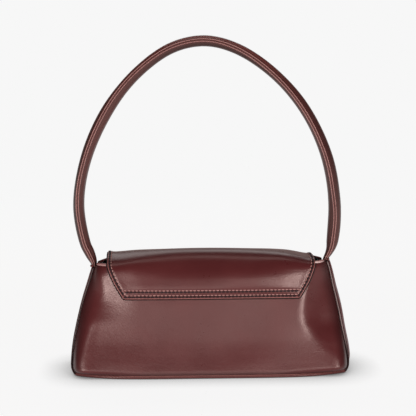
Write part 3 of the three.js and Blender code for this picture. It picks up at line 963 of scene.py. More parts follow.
# Near-black, as painted shade on the side pipings' flanks, with a pale painted highlight on their crests
piping_leather = leather(
    "piping_leather", (30, 12, 13), (38, 16, 17), (150, 128, 125), 0.45, 0.08, shine=0.15,
)
# Paler than the panels, as a painted highlight, with a near-white painted highlight on the rolls' crests
highlit_rim_leather = leather("highlit_rim_leather", (118, 62, 60), (132, 74, 71), (226, 196, 190), 0.26, 0.08, coat=0.6)
# Its third colour is a painted highlight along the top of the base piping
base_piping_leather = leather(
    "base_piping_leather", (80, 37, 36), (92, 44, 43), (176, 118, 112), 0.3, 0.08,
)
edge_paint = leather("edge_paint", (134, 78, 74), (150, 92, 87), (134, 78, 74), 0.36, 0.05)
# Near-black: a painted shadow under the flap's edge
edge_shadow = leather("edge_shadow", (12, 5, 6), (18, 8, 9), (12, 5, 6), 0.75, 0.1)
flap_lining = leather("flap_backing", (58, 27, 28), (70, 34, 34), (50, 22, 23), 0.62, grain=0.3)
lining_cloth = woven("lining_cloth", (12, 11, 12), (34, 32, 34), 520.0, 0.8, 0.15)
thread = fibrous("sewing_thread", (164, 112, 106), (196, 148, 140), 2600.0, 0.5)
# Dark needle holes, drawn wide enough to join into a band of painted shade beside the threads
needle_hole_shade = fibrous("needle_hole_shade", (26, 6, 8), (48, 14, 16), 1800.0, 0.85)
steel = metal("snap_steel", (168, 164, 158), (206, 202, 196), 0.26, 900.0)
ferrite = metal("magnet_ferrite", (66, 67, 70), (92, 93, 97), 0.55, 700.0)
stiff_board = fibrous("stiff_board", (98, 92, 84), (126, 119, 108), 420.0, 0.88)
cotton = fibrous("cotton_cord", (190, 180, 160), (222, 214, 198), 900.0, 0.9)


# Panels
PANEL_COLUMNS = 120
PANEL_ROWS = 64
PANEL_BOTTOM = 2.4
PANEL_TOP = 105.4
SEAM_REACH = 0.7  # seam line to the edge of the leather, which the piping covers
SEAM_SHADE_START = 0.5  # where the painted shade beside a seam starts to fade, and how far it reaches
SEAM_SHADE_WIDTH = 5.0
PANEL_SHADE_WIDTH = 14
GUSSET_SHADE_WIDTH = 3.0


def crowd(u):
    """Moves columns towards both ends, where the panels turn."""
    return math.sin(u * math.pi / 2) * 0.6 + u * 0.4


def panel_z(v):
    return lerp(PANEL_BOTTOM, PANEL_TOP, v)


# Painted shade beside a seam: full close to it, fading out over a width
def seam_shade(distance, width=SEAM_SHADE_WIDTH):
    return 1 - smooth(distance, SEAM_SHADE_START, width)


def add_panel(node, side, face):
    def place(u, v):
        z = panel_z(v)
        x = crowd(u) * (seam_x(z) - SEAM_REACH)
        y = side * face(x, z)
        return drawn_up(x, y, z)

    # Painted shade beside the side seams and above the base seam, where the panel turns away from the light
    def edge(u, v):
        z = panel_z(v)
        end = seam_shade((1 - abs(crowd(u))) * seam_x(z), PANEL_SHADE_WIDTH)
        return max(end, seam_shade(z - PANEL_BOTTOM))

    bm = sheet_mesh(PANEL_COLUMNS, PANEL_ROWS, place, (0, side, 0), edge)
    add_body_leather(bm, node + "_leather", oxblood, [node], LEATHER)


add_panel("rear_panel", -1, rear_face)
add_panel("front_panel", 1, front_face)


# Gussets: each has a soft fold up its middle, and draws in beside its seams
GUSSET_COLUMNS = 18
GUSSET_FOLD = 0.9
GUSSET_FOLD_WIDTH = 4
GUSSET_FOLD_RISE = (40, 90)
RIPPLE = 0.4
RIPPLE_WAVE = (14, 24)
RIPPLE_RISE = (10, 40)
RIPPLE_SHIFT = 5.0  # keeps the two gussets' ripples unlike
SEAM_TUCK = 0.8
SEAM_TUCK_WIDTH = 3.5
FOOT_TUCK = 0.5
FOOT_TUCK_HEIGHT = 4
GUSSET_SWELL = {-1: -1.3, 1: 2.5}
GUSSET_SWELL_RISE = (3, 16)
GUSSET_SWELL_FALL = (60, 105)
GUSSET_SWELL_TOP = 0.4  # share of the swell that is left at the top
GUSSET_SWELL_FLATNESS = 4


def add_gusset(node, side):
    def place(u, v):
        z = panel_z(v)
        y = u * (seam_y(z) - SEAM_REACH)
        fold = GUSSET_FOLD * bell(y, 0, GUSSET_FOLD_WIDTH) * smooth(z, *GUSSET_FOLD_RISE)
        wave = noise.noise(Vector((side * RIPPLE_SHIFT, y / RIPPLE_WAVE[0], z / RIPPLE_WAVE[1])))
        ripple = RIPPLE * wave * smooth(z, *RIPPLE_RISE)
        tuck = SEAM_TUCK * smooth(SEAM_TUCK_WIDTH - (seam_y(z) - abs(y)), 0, SEAM_TUCK_WIDTH)
        tuck += FOOT_TUCK * smooth(FOOT_TUCK_HEIGHT - z, 0, FOOT_TUCK_HEIGHT)
        swell = GUSSET_SWELL[side] * (1 - u ** GUSSET_SWELL_FLATNESS) * smooth(z, *GUSSET_SWELL_RISE)
        swell *= lerp(1, GUSSET_SWELL_TOP, smooth(z, *GUSSET_SWELL_FALL))
        x = side * (gusset_x(y, z) + fold + ripple + swell - tuck)
        return drawn_up(x, y, z)

    # Painted shadow: near-black beside the seams and along the base
    def edge(u, v):
        z = panel_z(v)
        end = seam_shade((1 - abs(u)) * seam_y(z), GUSSET_SHADE_WIDTH)
        return max(end, seam_shade(z - PANEL_BOTTOM))

    bm = sheet_mesh(GUSSET_COLUMNS, PANEL_ROWS, place, (side, 0, 0), edge)
    add_body_leather(bm, node + "_leather", oxblood_gusset, [node], LEATHER)


add_gusset("left_gusset", -1)
add_gusset("right_gusset", 1)


# Base: its edges turn up to the piping
BASE_LEVEL = 1.8
BASE_BOTTOM = 0.1
BASE_RISE = 1.6
BASE_INSET = 0.9825  # share of the outline that the leather fills
BASE_SHEET = BASE_THICKNESS - 0.4
BASE_TURN = (0.9, 0.965)  # where the edges start to turn up, as shares of half the depth and half the length
BASE_GRID = (60, 24)  # columns and rows, as in the other grids


def base_edge(u, v):
    return max(smooth(abs(v * 2 - 1), BASE_TURN[0], 1), smooth(abs(u), BASE_TURN[1], 1))


def base_place(u, v):
    across = v * 2 - 1
    face = front_face if across > 0 else rear_face
    y = across * face(u * seam_x(BASE_LEVEL), BASE_LEVEL) * BASE_INSET
    bulge = gusset_bulge(BASE_LEVEL) * max(0.0, 1 - (y / seam_y(BASE_LEVEL)) ** 2)
    x = u * (seam_x(BASE_LEVEL) + bulge) * BASE_INSET
    return Vector((x, y, BASE_BOTTOM + BASE_RISE * base_edge(u, v)))


# base_edge also lays painted shade along the turned-up edges
base_sheet = sheet_mesh(*BASE_GRID, base_place, (0, 0, -1), base_edge)
add_body_leather(base_sheet, "base_leather", oxblood, ["base_panel"], BASE_SHEET)


def base_outline(z, steps=70, end_steps=12):
    """The body's outline at a height, as points round it."""
    outline = []
    for side, face in ((-1, rear_face), (1, front_face)):
        for i in range(steps):
            x = -side * crowd(2 * i / steps - 1) * seam_x(z)
            outline.append(Vector((x, side * face(x, z), z)))
        for i in range(end_steps):
            y = side * (1 - 2 * i / end_steps) * seam_y(z)
            outline.append(Vector((-side * gusset_x(y, z), y, z)))
    return outline


# Stiff board over the base
BOARD_Z = 2.7
BOARD_THICKNESS = 1.8
BOARD_MARGIN = 4.5
BOARD_GRID = (48, 12)


def board_place(u, v):
    x = u * (seam_x(BOARD_Z) - BOARD_MARGIN)
    rear = -rear_face(x, BOARD_Z + BOARD_THICKNESS) + BOARD_MARGIN
    front = front_face(x, BOARD_Z + BOARD_THICKNESS) - BOARD_MARGIN
    return Vector((x, lerp(rear, front, v), BOARD_Z))


board_sheet = settle(sheet_mesh(*BOARD_GRID, board_place, (0, 0, -1)))
board = add_piece(board_sheet, "base_board_sheet", [stiff_board], "bag", ["base_board"])
thicken(board, BOARD_THICKNESS)


# Piping: thicker round the base, and where the side seams end under the rims
PIPING_SIDES = 16
PIPING_STEP = 3.0
SIDE_RADIUS = 0.9
SIDE_RADIUS_GAIN = 0.5
SIDE_GAIN_RISE = (101, 104)
SIDE_END_SHARE = 0.55
SIDE_BOTTOM = 2.0
SIDE_TOP = 105.6
SIDE_ROWS = 44


# Painted highlights on the crests of the rolls, from the left end to the right
HIGHLIGHT_FACING = (0.55, 0.95)
HIGHLIGHT_SPAN = (-60, 60)
SIDE_HIGHLIGHT = (0.3, 0.85)
SIDE_HIGHLIGHT_RISE = (14, 44)
SIDE_HIGHLIGHT_WAY = (0.5, 0.86)  # towards the bag's middle, and away from it in depth
RIM_HIGHLIGHT = (0.25, 1.0)


def paint_crest_highlight(bm, way, strength):
    """Sets a painted highlight on the crest of a roll that faces a way."""
    crest = bm.verts.layers.float.new("seam")
    bm.normal_update()
    for vert in bm.verts:
        vert[crest] = strength(vert.co / MM) * smooth(vert.normal.dot(Vector(way)), *HIGHLIGHT_FACING)
    return bm


def side_highlight(spot):
    return lerp(*SIDE_HIGHLIGHT, smooth(spot.x, *HIGHLIGHT_SPAN)) * smooth(spot.z, *SIDE_HIGHLIGHT_RISE)


def rim_highlight(spot):
    return lerp(*RIM_HIGHLIGHT, smooth(spot.x, *HIGHLIGHT_SPAN))


base_line = base_outline(BASE_LEVEL)
base_line = stepped(base_line + base_line[:1], PIPING_STEP)[:-1]
base_piping = cord_mesh(base_line, [PIPING_RADIUS] * len(base_line), PIPING_SIDES, closed=True)
# Painted highlight along the top of the base piping
paint_crest_highlight(base_piping, (0, 0, 1), lambda spot: 1.0)
add_body_leather(base_piping, "base_piping", base_piping_leather, ["base_welt"])


def add_side_piping(name, side, end):
    line = []
    radii = []
    for i in range(SIDE_ROWS + 1):
        z = lerp(SIDE_BOTTOM, SIDE_TOP, i / SIDE_ROWS)
        x = end * (seam_x(z) + CLEARANCE)
        y = side * (seam_y(z) + CLEARANCE)
        line.append(drawn_up(x, y, z))
        radii.append(SIDE_RADIUS + SIDE_RADIUS_GAIN * smooth(z, *SIDE_GAIN_RISE))
    radii[-1] *= SIDE_END_SHARE
    piping = cord_mesh(line, radii, PIPING_SIDES)
    inwards, outwards = SIDE_HIGHLIGHT_WAY
    # Painted highlight on the piping's crest
    paint_crest_highlight(piping, (-inwards * end, outwards * side, 0), side_highlight)
    add_body_leather(piping, name + "_piping", piping_leather, [name + "_welt"])


add_side_piping("rear_left", -1, -1)
add_side_piping("rear_right", -1, 1)
add_side_piping("front_left", 1, -1)
add_side_piping("front_right", 1, 1)


# Rolled rims
RIM_END = 115
RIM_PINCH = 0.25
RIM_PINCH_LENGTH = 2.5


def add_rim(name, side, face):
    z = BODY_HEIGHT - RIM_HEIGHT / 2
    steps = 90
    around = 14

    def place(i, k):
        x = crowd(2 * i / steps - 1) * RIM_END
        angle = 2 * math.pi * k / around
        y = face(x, PANEL_TOP) - LEATHER / 2 + math.cos(angle) * RIM_DEPTH / 2
        pinch = 1 - RIM_PINCH * smooth(abs(x), RIM_END - RIM_PINCH_LENGTH, RIM_END)
        rise = math.sin(angle) * RIM_HEIGHT / 2 * pinch
        return Vector((x, side * y, z + mouth_lift(x, side * y, z) + rise))

    # Painted highlight on the rim's crest, weaker at the left end
    bm = paint_crest_highlight(tube_mesh(steps, around, place), (0, side, 0), rim_highlight)
    add_body_leather(bm, name + "_rim_roll", highlit_rim_leather, [name + "_rim"])


add_rim("rear", -1, rear_face)
add_rim("front", 1, front_face)


BINDING_RADIUS = 1.2
BINDING_END_RADIUS = 0.8
BINDING_REACH = 0.6  # how far it reaches past the seams
BINDING_OUT = 0.7
BINDING_RISE = 0.8


def add_end_binding(name, side):
    """The gusset's top edge, turned over into a short roll between the two side seams."""
    end = seam_y(PANEL_TOP)
    line = []
    steps = 10
    for i in range(steps + 1):
        y = lerp(-1, 1, i / steps) * (end + BINDING_REACH)
        x = side * (gusset_x(clamp(y, -end, end), PANEL_TOP) + BINDING_OUT)
        line.append(drawn_up(x, y, PANEL_TOP) + Vector((0, 0, BINDING_RISE)))
    radii = [BINDING_RADIUS] * (steps + 1)
    radii[0] = BINDING_END_RADIUS
    radii[-1] = BINDING_END_RADIUS
    add_body_leather(cord_mesh(line, radii, PIPING_SIDES), name, oxblood_gusset)


add_end_binding("left_gusset_binding", -1)
add_end_binding("right_gusset_binding", 1)


# Lining with its floor, and the slip pocket
LINING_TOP = 107.4
LINING_FLOOR = 5.6
LINING_COLUMNS = 40
LINING_WALL_ROWS = 22
LINING_FLOOR_ROWS = 8
LINING_AROUND = 2 * LINING_COLUMNS + 2
LINING_END_INSET = 8
LINING_OFFSET = 3.0  # a panel's outer face to the lining
LINING_CREASE = 0.4
LINING_CREASE_WAVE = (18, 22)
LINING_CREASE_SHIFT = 4.0  # keeps the creases of the two sides unlike
CLOTH = 0.7


def lining_place(i, k):
    """i runs down the wall and in over the floor, k round the mouth."""
    down = clamp(i / LINING_WALL_ROWS)
    inwards = clamp((i - LINING_WALL_ROWS) / LINING_FLOOR_ROWS)
    z = lerp(LINING_TOP, LINING_FLOOR, down)
    side = -1 if k <= LINING_COLUMNS else 1
    step = k if k <= LINING_COLUMNS else k - LINING_COLUMNS - 1
    x = side * -crowd(2 * step / LINING_COLUMNS - 1) * (seam_x(z) - LINING_END_INSET)
    face = rear_face if side < 0 else front_face
    wave, wave_up = LINING_CREASE_WAVE
    crease = LINING_CREASE * noise.noise(Vector((x / wave, side * LINING_CREASE_SHIFT, z / wave_up)))
    y = min(panel_y(x, z), face(x, z)) - LINING_OFFSET - crease
    return Vector((x, side * y * (1 - inwards), z + mouth_lift(x, side * y, z)))


def add_cloth(bm, name, node):
    piece = add_piece(bm, name, [lining_cloth], "bag", [node])
    return soften(thicken(piece, CLOTH))


lining_rows = LINING_WALL_ROWS + LINING_FLOOR_ROWS
lining_sheet = rolled_mesh(lining_rows, LINING_AROUND, lining_place, weld=1e-6)
bmesh.ops.recalc_face_normals(lining_sheet, faces=lining_sheet.faces)
add_cloth(settle(lining_sheet), "lining_bag", "lining")

POCKET_WIDTH = 120
POCKET_HEIGHT = 58
POCKET_TOP = BODY_HEIGHT - 22
POCKET_DEPTH = 4.5  # rear panel's outer face to the pocket
POCKET_GAPE = 1.5
POCKET_GAPE_START = 0.55  # share of its height
POCKET_GRID = (30, 16)


def pocket_place(u, v):
    z = POCKET_TOP - POCKET_HEIGHT * (1 - v)
    x = u * POCKET_WIDTH / 2
    gape = POCKET_GAPE * (1 - u * u) * smooth(v, POCKET_GAPE_START, 1)
    return Vector((x, -(rear_face(x, z) - POCKET_DEPTH - gape), z))


add_cloth(sheet_mesh(*POCKET_GRID, pocket_place, (0, 1, 0)), "slip_pocket_cloth", "slip_pocket")


# Flap: one sheet of leather over its backing, bending where it leaves the rear panel
BORDER_STEPS = [0.0, 0.7, 1.5, 2.3, 2.8, 3.2, 3.6, 4.1, 5.0, 6.6, 7.6, 8.2, 8.8, 9.8]
FLAP_MIDDLE_COLUMNS = 34
FLAP_MIDDLE_ROWS = 46
STITCH_SHADE = 0.6
STITCH_SHADE_WIDTH = 0.8


def with_middle(length, steps):
    """Distances over a length, close together by the sewn borders at both ends."""
    inner = BORDER_STEPS[-1]
    middle = [lerp(inner, length - inner, i / steps) for i in range(1, steps)]
    return BORDER_STEPS + middle + [length - step for step in reversed(BORDER_STEPS)]


FLAP_ROWS = with_middle(FLAP_LENGTH, FLAP_MIDDLE_ROWS)
FLAP_COLUMNS = with_middle(FLAP_WIDTH, FLAP_MIDDLE_COLUMNS)


def flap_spread(u, v):
    """Distance along the flap and x of a grid point."""
    s = FLAP_ROWS[round(v * (len(FLAP_ROWS) - 1))]
    column = FLAP_COLUMNS[round((u + 1) / 2 * (len(FLAP_COLUMNS) - 1))]
    from_side = min(column, FLAP_WIDTH - column)
    half = flap_half(s)
    inner = BORDER_STEPS[-1]
    margin = inner * cut_stretch(s)
    if from_side <= inner:
        x = half - from_side * margin / inner
    else:
        x = (half - margin) * (FLAP_WIDTH / 2 - from_side) / (FLAP_WIDTH / 2 - inner)
    return s, math.copysign(x, column - FLAP_WIDTH / 2)


def bend_flap(obj):
    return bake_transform(obj)


def add_flap_sheet(bm, name, finish, replaces, thickness):
    piece = add_piece(bm, name, [finish], None, replaces)
    bend_flap(soften(thicken(piece, thickness)))


def flap_place(u, v):
    return flap_skin(*flap_spread(u, v))


# Painted shade along the stitch rows
def flap_edge(u, v):
    return STITCH_SHADE * bell(flap_border(*flap_spread(u, v)), STITCH_MARGIN, STITCH_SHADE_WIDTH)


flap_sheet = sheet_mesh(len(FLAP_COLUMNS) - 1, len(FLAP_ROWS) - 1, flap_place, (0, 0, 1), flap_edge)
flap_nodes = ["flap_rear", "flap_front"]
add_flap_sheet(flap_sheet, "flap_leather", oxblood, flap_nodes, FLAP_LEATHER)

BACKING_INSET = 0.6
BACKING_SIDE_INSET = 0.7
BACKING_SHEET = FLAP_LINING - 0.1
BACKING_GRID = (40, 60)


def backing_place(u, v):
    s = lerp(BACKING_INSET, FLAP_LENGTH - BACKING_INSET, v)
    return flap_point(s, u * (flap_half(s) - BACKING_SIDE_INSET), FLAP_LINING)


backing_sheet = sheet_mesh(*BACKING_GRID, backing_place, (0, 0, 1))
backing_nodes = ["flap_rear_lining", "flap_front_lining"]
add_flap_sheet(
    backing_sheet, "flap_backing_sheet", flap_lining, backing_nodes, BACKING_SHEET,
)

STIFFENER_MARGIN = 6
STIFFENER_HEIGHT = 1.7
STIFFENER_START = 30
STIFFENER_END = FLAP_LENGTH - 2
STIFFENER_SHEET = 0.5
STIFFENER_GRID = (30, 40)


def stiffener_place(u, v):
    s = lerp(STIFFENER_START, STIFFENER_END, v)
    return flap_point(s, u * (flap_half(s) - STIFFENER_MARGIN), STIFFENER_HEIGHT)


stiffener_sheet = sheet_mesh(*STIFFENER_GRID, stiffener_place, (0, 0, 1))
add_flap_sheet(
    stiffener_sheet, "flap_stiffener_sheet", stiff_board, ["flap_stiffener"], STIFFENER_SHEET,
)


# Edges of the flap: the leather's painted edge, and under it a near-black strip, a painted shadow of the
# edge on the panel
EDGE_AROUND = 8
EDGE_RADIUS = 0.62
EDGE_STEP = 2.2
EDGE_INSET = 0.05  # the least margin at which the outline is walked


def border_walk(margin, step):
    """Points round the flap's outline in (distance along, x), with its corners kept."""
    walk = []
    for edge in flap_edges(margin):
        walk += stepped(edge, step)[:-1]
    return walk


def outward(run, spot):
    """Direction square to a run in (distance along, x), away from the flap's middle."""
    out = Vector((-run.y, run.x)).normalized()
    return out if out.dot(spot - Vector((FLAP_LENGTH / 2, 0))) > 0 else -out


def add_flap_edge(name, margin, low, high, finish):
    """A rounded edge round the flap between two heights, centred on a margin."""
    walk = border_walk(max(EDGE_INSET, margin), EDGE_STEP)
    outside = min(0.0, margin - EDGE_INSET)

    def place(i, k):
        spot = walk[i]
        out = outward(walk[(i + 1) % len(walk)] - walk[i - 1], spot)
        angle = 2 * math.pi * k / EDGE_AROUND
        reach = spot + out * (math.cos(angle) * EDGE_RADIUS - outside)
        height = lerp(low, high, (1 + math.sin(angle)) / 2)
        inside = clamp(reach.x, 0.0, FLAP_LENGTH)
        run_at = flap_spot(inside, reach.y)[1]
        return flap_point(inside, reach.y, height) + Vector((0, run_at.x, run_at.y)) * (reach.x - inside)

    tube = tube_mesh(len(walk), EDGE_AROUND, place, closed=True)
    bend_flap(soften(add_piece(tube, name, [finish])))


add_flap_edge("flap_painted_edge", margin=0.5, low=1.0, high=2.45, finish=edge_paint)
# A near-black strip just outside the edge, standing in for its shadow
add_flap_edge("flap_edge_shadow", margin=-0.75, low=0.0, high=1.1, finish=edge_shadow)


# Stitches: the thread lies to the inside of its row, and the needle's hole to the outside, drawn large as
# painted shade beside the thread
THREAD_WIDTH = 1.1
THREAD_RISE = 0.9
THREAD_SHIFT = -0.3
THREAD_LIFT = 0.22
THREAD_SPAN = (0.1, 0.9)  # share of the pitch over which the thread shows
ROW_END_GAP = 1.0
# The holes are long and wide, so that along a row they join into a band of painted shade
HOLE_LENGTH = 3.7
HOLE_WIDTH = 2.4
HOLE_RISE = 0.3
HOLE_SHIFT = 1.4
HOLE_LIFT = 0.02


def add_bead(bm, middle, along, normal, width, height):
    """A small rounded bead, as long as along."""
    across = normal.cross(along).normalized()
    made = bmesh.ops.create_uvsphere(bm, u_segments=6, v_segments=4, radius=0.5)
    place = Matrix((across * width, normal * height, along)).transposed().to_4x4()
    place.translation = middle
    bmesh.ops.transform(bm, matrix=place, verts=made["verts"])


def stitch_rows():
    """Rows of sewing on the flap, as lists of points in (distance along, x)."""
    rows = [stepped(edge, STITCH_PITCH) for edge in flap_edges(STITCH_MARGIN)]
    inner = STITCH_MARGIN + STITCH_ROW_GAP
    reach = flap_half(inner) - STITCH_MARGIN * cut_stretch(inner) - ROW_END_GAP
    for s in (inner, FLAP_LENGTH - inner):
        rows.append(stepped([Vector((s, -reach)), Vector((s, reach))], STITCH_PITCH))
    return rows


def sew_flap():
    threads = bmesh.new()
    holes = bmesh.new()
    for row in stitch_rows():
        for a, b in zip(row, row[1:]):
            middle = (a + b) / 2
            normal = flap_normal(*middle)
            out = outward(b - a, middle)
            start, end = [flap_skin(*(a.lerp(b, share) + out * THREAD_SHIFT)) for share in THREAD_SPAN]
            spot = (start + end) / 2 + normal * THREAD_LIFT
            add_bead(threads, spot, end - start, normal, THREAD_WIDTH, THREAD_RISE)
            spot = flap_skin(*(a + out * HOLE_SHIFT)) + normal * HOLE_LIFT
            along = (end - start).normalized() * HOLE_LENGTH
            add_bead(holes, spot, along, normal, HOLE_WIDTH, HOLE_RISE)
    for bm in (threads, holes):
        to_metres(bm)
    return threads, holes


flap_threads, flap_holes = sew_flap()
bend_flap(add_piece(flap_threads, "flap_stitches", [thread]))
bend_flap(add_piece(flap_holes, "flap_hole_shade", [needle_hole_shade]))


# Rolled handle: a strip of leather closed round its cord, its two edges standing up as a sewn ridge
ARCH = arch_line()
ARCH_STATIONS = len(ARCH) - 1
RIDGE_HALF = 1.75  # middle of the ridge to the outside of each ply
RIDGE_FOOT_HALF = 1.3
RIDGE_SHARE = 0.8  # the most of the roll's half width that it takes
RIDGE_RISE = 1.7
RIDGE_FOOT_SHARE = 0.55
ROLL_SWELL = (2.2, 5.2)  # half widths between which the ridge grows to its full size
RIDGE_FOOT_TOP = 107
PLY = 1.2
HANDLE_AROUND = 26
RIDGE_STEPS = 2  # of those steps, how many each ply of the ridge takes
RIDGE_ROOT = 1.6  # the step at which the ridge meets the roll, a little above it
ROOT_LIFT = 0.35
FLANK_START = 1.12
# How the ridge turns about the roll, in degrees, from the left foot to the right
RIDGE_TURN = [
    (0.0, 2), (0.058, 4), (0.092, 5), (0.147, 8), (0.2, 8), (0.255, 11), (0.36, 16), (0.471, 9),
    (0.505, 8), (0.542, 4), (0.62, -6), (0.747, -13), (0.803, -12), (0.855, -12), (0.91, -4),
    (0.943, -6), (1.0, -4),
]


def bend_handle(obj):
    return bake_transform(obj)


def handle_frame(i):
    """Centre, direction across to the inside of the arch, and direction of the ridge at a station."""
    centre = ARCH[i]
    run = (ARCH[min(ARCH_STATIONS, i + 1)] - ARCH[max(0, i - 1)]).normalized()
    across = Vector((run.y, 0, -run.x))
    turn = math.radians(spline(RIDGE_TURN, i / ARCH_STATIONS))
    rear = Vector((0, -1, 0))
    ridge = rear * math.cos(turn) - across * math.sin(turn)
    side = across * math.cos(turn) + rear * math.sin(turn)
    return Vector((centre.x, 0, centre.y)), side, ridge


def handle_section(i):
    """Half width and half depth of the roll at a station, and half width and rise of its ridge."""
    level = ARCH[i].y
    half_width = spline(RIGHT_ARM_WIDTH if ARCH[i].x > 0 else LEFT_ARM_WIDTH, level) / 2
    half_depth = spline(ARM_DEPTH, level) / 2
    swell = smooth(half_width, *ROLL_SWELL)
    ridge_half = min(lerp(RIDGE_FOOT_HALF, RIDGE_HALF, swell), RIDGE_SHARE * half_width)
    rise = RIDGE_RISE * lerp(RIDGE_FOOT_SHARE, 1, swell) * smooth(level, FOOT_END, RIDGE_FOOT_TOP)
    return half_width, half_depth, ridge_half, rise


def handle_place(u, v):
    i = round(v * ARCH_STATIONS)
    k = round((u + 1) / 2 * HANDLE_AROUND)
    centre, side, ridge = handle_frame(i)
    half_width, half_depth, ridge_half, rise = handle_section(i)
    gap = math.asin(ridge_half / half_width)
    flank = -1 if k < HANDLE_AROUND / 2 else 1
    from_edge = min(k, HANDLE_AROUND - k)
    if from_edge < RIDGE_STEPS:
        foot = half_depth * math.cos(gap)
        lift = lerp(rise + half_depth, foot + ROOT_LIFT * rise, from_edge / RIDGE_ROOT)
        return centre + side * flank * ridge_half + ridge * lift
    share = (from_edge - RIDGE_STEPS) / (HANDLE_AROUND / 2 - RIDGE_STEPS)
    angle = lerp(gap * FLANK_START, math.pi, share)
    return centre + side * flank * math.sin(angle) * half_width + ridge * math.cos(angle) * half_depth


# Painted light on the roll's outer and inner flank, from the left foot to the right; elsewhere the roll
# keeps its near-black painted shade
OUTER_PAINTED_LIGHT = [
    (0.0, 0.35), (0.05, 0.18), (0.26, 0.18), (0.36, 0.55), (0.44, 1.0), (0.57, 1.0), (0.66, 0.5), (1.0, 0.4),
]
INNER_PAINTED_LIGHT = [(0.0, 0.38), (0.3, 0.4), (0.4, 0.2), (0.48, 0.1), (0.58, 0.1), (0.68, 0.22), (1.0, 0.26)]
RIDGE_PAINTED_LIGHT = 0.45  # the same beside the ridge and on the roll's front
PAINTED_LIGHT_FROM_RIDGE = (0.08, 0.26)
PAINTED_LIGHT_FROM_FRONT = (0.3, 0.5)


# Share of painted light at a place on the roll
def handle_painted_light(u, v):
    lit_share = spline(OUTER_PAINTED_LIGHT if u < 0 else INNER_PAINTED_LIGHT, v)
    share = smooth(1 - abs(u), *PAINTED_LIGHT_FROM_RIDGE) * smooth(abs(u), *PAINTED_LIGHT_FROM_FRONT)
    return lerp(RIDGE_PAINTED_LIGHT, lit_share, share)


def handle_mesh():
    bm = sheet_mesh(HANDLE_AROUND, ARCH_STATIONS, handle_place, (0, -1, 0), handle_painted_light)
    bmesh.ops.recalc_face_normals(bm, faces=bm.faces)
    total = 0.0
    for face in bm.faces:
        middle = face.calc_center_median() / MM
        spot = Vector((middle.x, middle.z))
        nearest = min(ARCH[::4], key=lambda point: (point - spot).length)
        total += face.normal.dot(middle - Vector((nearest.x, 0, nearest.y)))
    if total < 0:
        bmesh.ops.reverse_faces(bm, faces=bm.faces)
    return bm


handle = add_piece(
    handle_mesh(), "handle_leather", [oxblood_handle, ridge_paint], replaces=["handle_cover"],
)
bend_handle(soften(thicken(handle, PLY, rim=1)))


# Glued seam between the ridge's two plies
PLY_GAP = 0.03
GLUE_LEAST = 0.1
GLUE_SINK = 0.4
GLUE_ROOT = 1.2


def seam_place(i, k):
    centre, side, ridge = handle_frame(i)
    half_depth, ridge_half, rise = handle_section(i)[1:]
    half = max(GLUE_LEAST, ridge_half - PLY - PLY_GAP)
    flank = 1 if k in (0, 3) else -1
    lift = half_depth + (rise - GLUE_SINK if k < 2 else -GLUE_ROOT)
    return centre + side * flank * half + ridge * lift


bend_handle(add_piece(tube_mesh(ARCH_STATIONS, 4, seam_place), "handle_glued_seam", [glued_seam]))


# Folded tabs that hold the handle's feet inside the corners
TAB_TOP = 103.5
TAB_BOTTOM = 86
TAB_WIDTH = 6.0
TAB_LEATHER = 0.7
TAB_INSET = 4.2  # gusset to the middle of the fold
TAB_OPEN = 2.05
TAB_TURN = 0.18  # share of its length over which the fold opens
TAB_ROUNDNESS = 0.9
TAB_GRID = (6, 28)


def add_tab(name, side):
    def place(u, v):
        bend = abs(v * 2 - 1)
        z = lerp(TAB_BOTTOM, TAB_TOP, bend ** TAB_ROUNDNESS)
        flank = math.copysign(1.0, v - 0.5)
        open_to = TAB_OPEN * smooth(bend, 0, TAB_TURN)
        x = gusset_x(TAB_WIDTH / 2, z) - TAB_INSET + flank * open_to
        return Vector((side * x, u * TAB_WIDTH / 2, z))

    bm = sheet_mesh(*TAB_GRID, place, (0, 0, -1))
    tab = add_piece(bm, name + "_fold", [oxblood_gusset], "bag", replaces=[name])
    soften(thicken(tab, TAB_LEATHER))


add_tab("left_handle_tab", -1)
add_tab("right_handle_tab", 1)


# Magnetic snap on the front
SNAP_OUT = Vector((0, math.cos(SNAP_LEAN), math.sin(SNAP_LEAN)))
STUD_HEIGHT = 3.6  # front panel to the stud's flange
SNAP_AROUND = 40
SNAP_ROUNDING = 0.25


def add_snap(name, profile, height, finish, body, node):
    bm = turned_mesh(profile, SNAP_AROUND)
    turn = SNAP_OUT.to_track_quat("Z", "Y").to_matrix().to_4x4()
    centre = Vector((0, middle_y(SNAP_HEIGHT), SNAP_HEIGHT)) + SNAP_OUT * height
    bmesh.ops.transform(bm, matrix=Matrix.Translation(centre * MM) @ turn, verts=bm.verts)
    piece = add_piece(bm, name, [finish], body, [node])
    rounding = piece.modifiers.new("rounding", "BEVEL")
    rounding.width = SNAP_ROUNDING * MM
    rounding.segments = 3
    rounding.limit_method = "ANGLE"
    return piece


socket_profile = [
    (4.5, 1.0), (4.5, 2.4), (4.9, 2.95), (6.6, 2.7), (7.6, 3.0), (8.5, 2.8), (9.0, 2.2), (9.0, 0.0),
    (8.4, 0.0), (8.4, 1.8), (5.1, 1.8), (5.1, 1.0), (4.5, 1.0),
]
add_snap("snap_socket_shell", socket_profile, CLEARANCE, steel, "bag", "snap_socket")
stud_profile = [
    (0.0, -1.5), (1.4, -1.5), (1.9, -1.1), (2.2, 0.0), (3.2, 0.0), (3.8, -0.15), (7.2, -0.1),
    (8.6, 0.15), (9.0, 0.5), (9.0, 1.2), (0.0, 1.2),
]
add_snap("snap_stud_turned", stud_profile, STUD_HEIGHT, steel, "flap", "snap_stud")

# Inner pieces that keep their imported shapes
for node, finish in (("snap_magnet", ferrite), ("snap_back_plate", steel), ("handle_core", cotton)):
    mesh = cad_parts[node].data
    mesh.materials.clear()
    mesh.materials.append(finish)


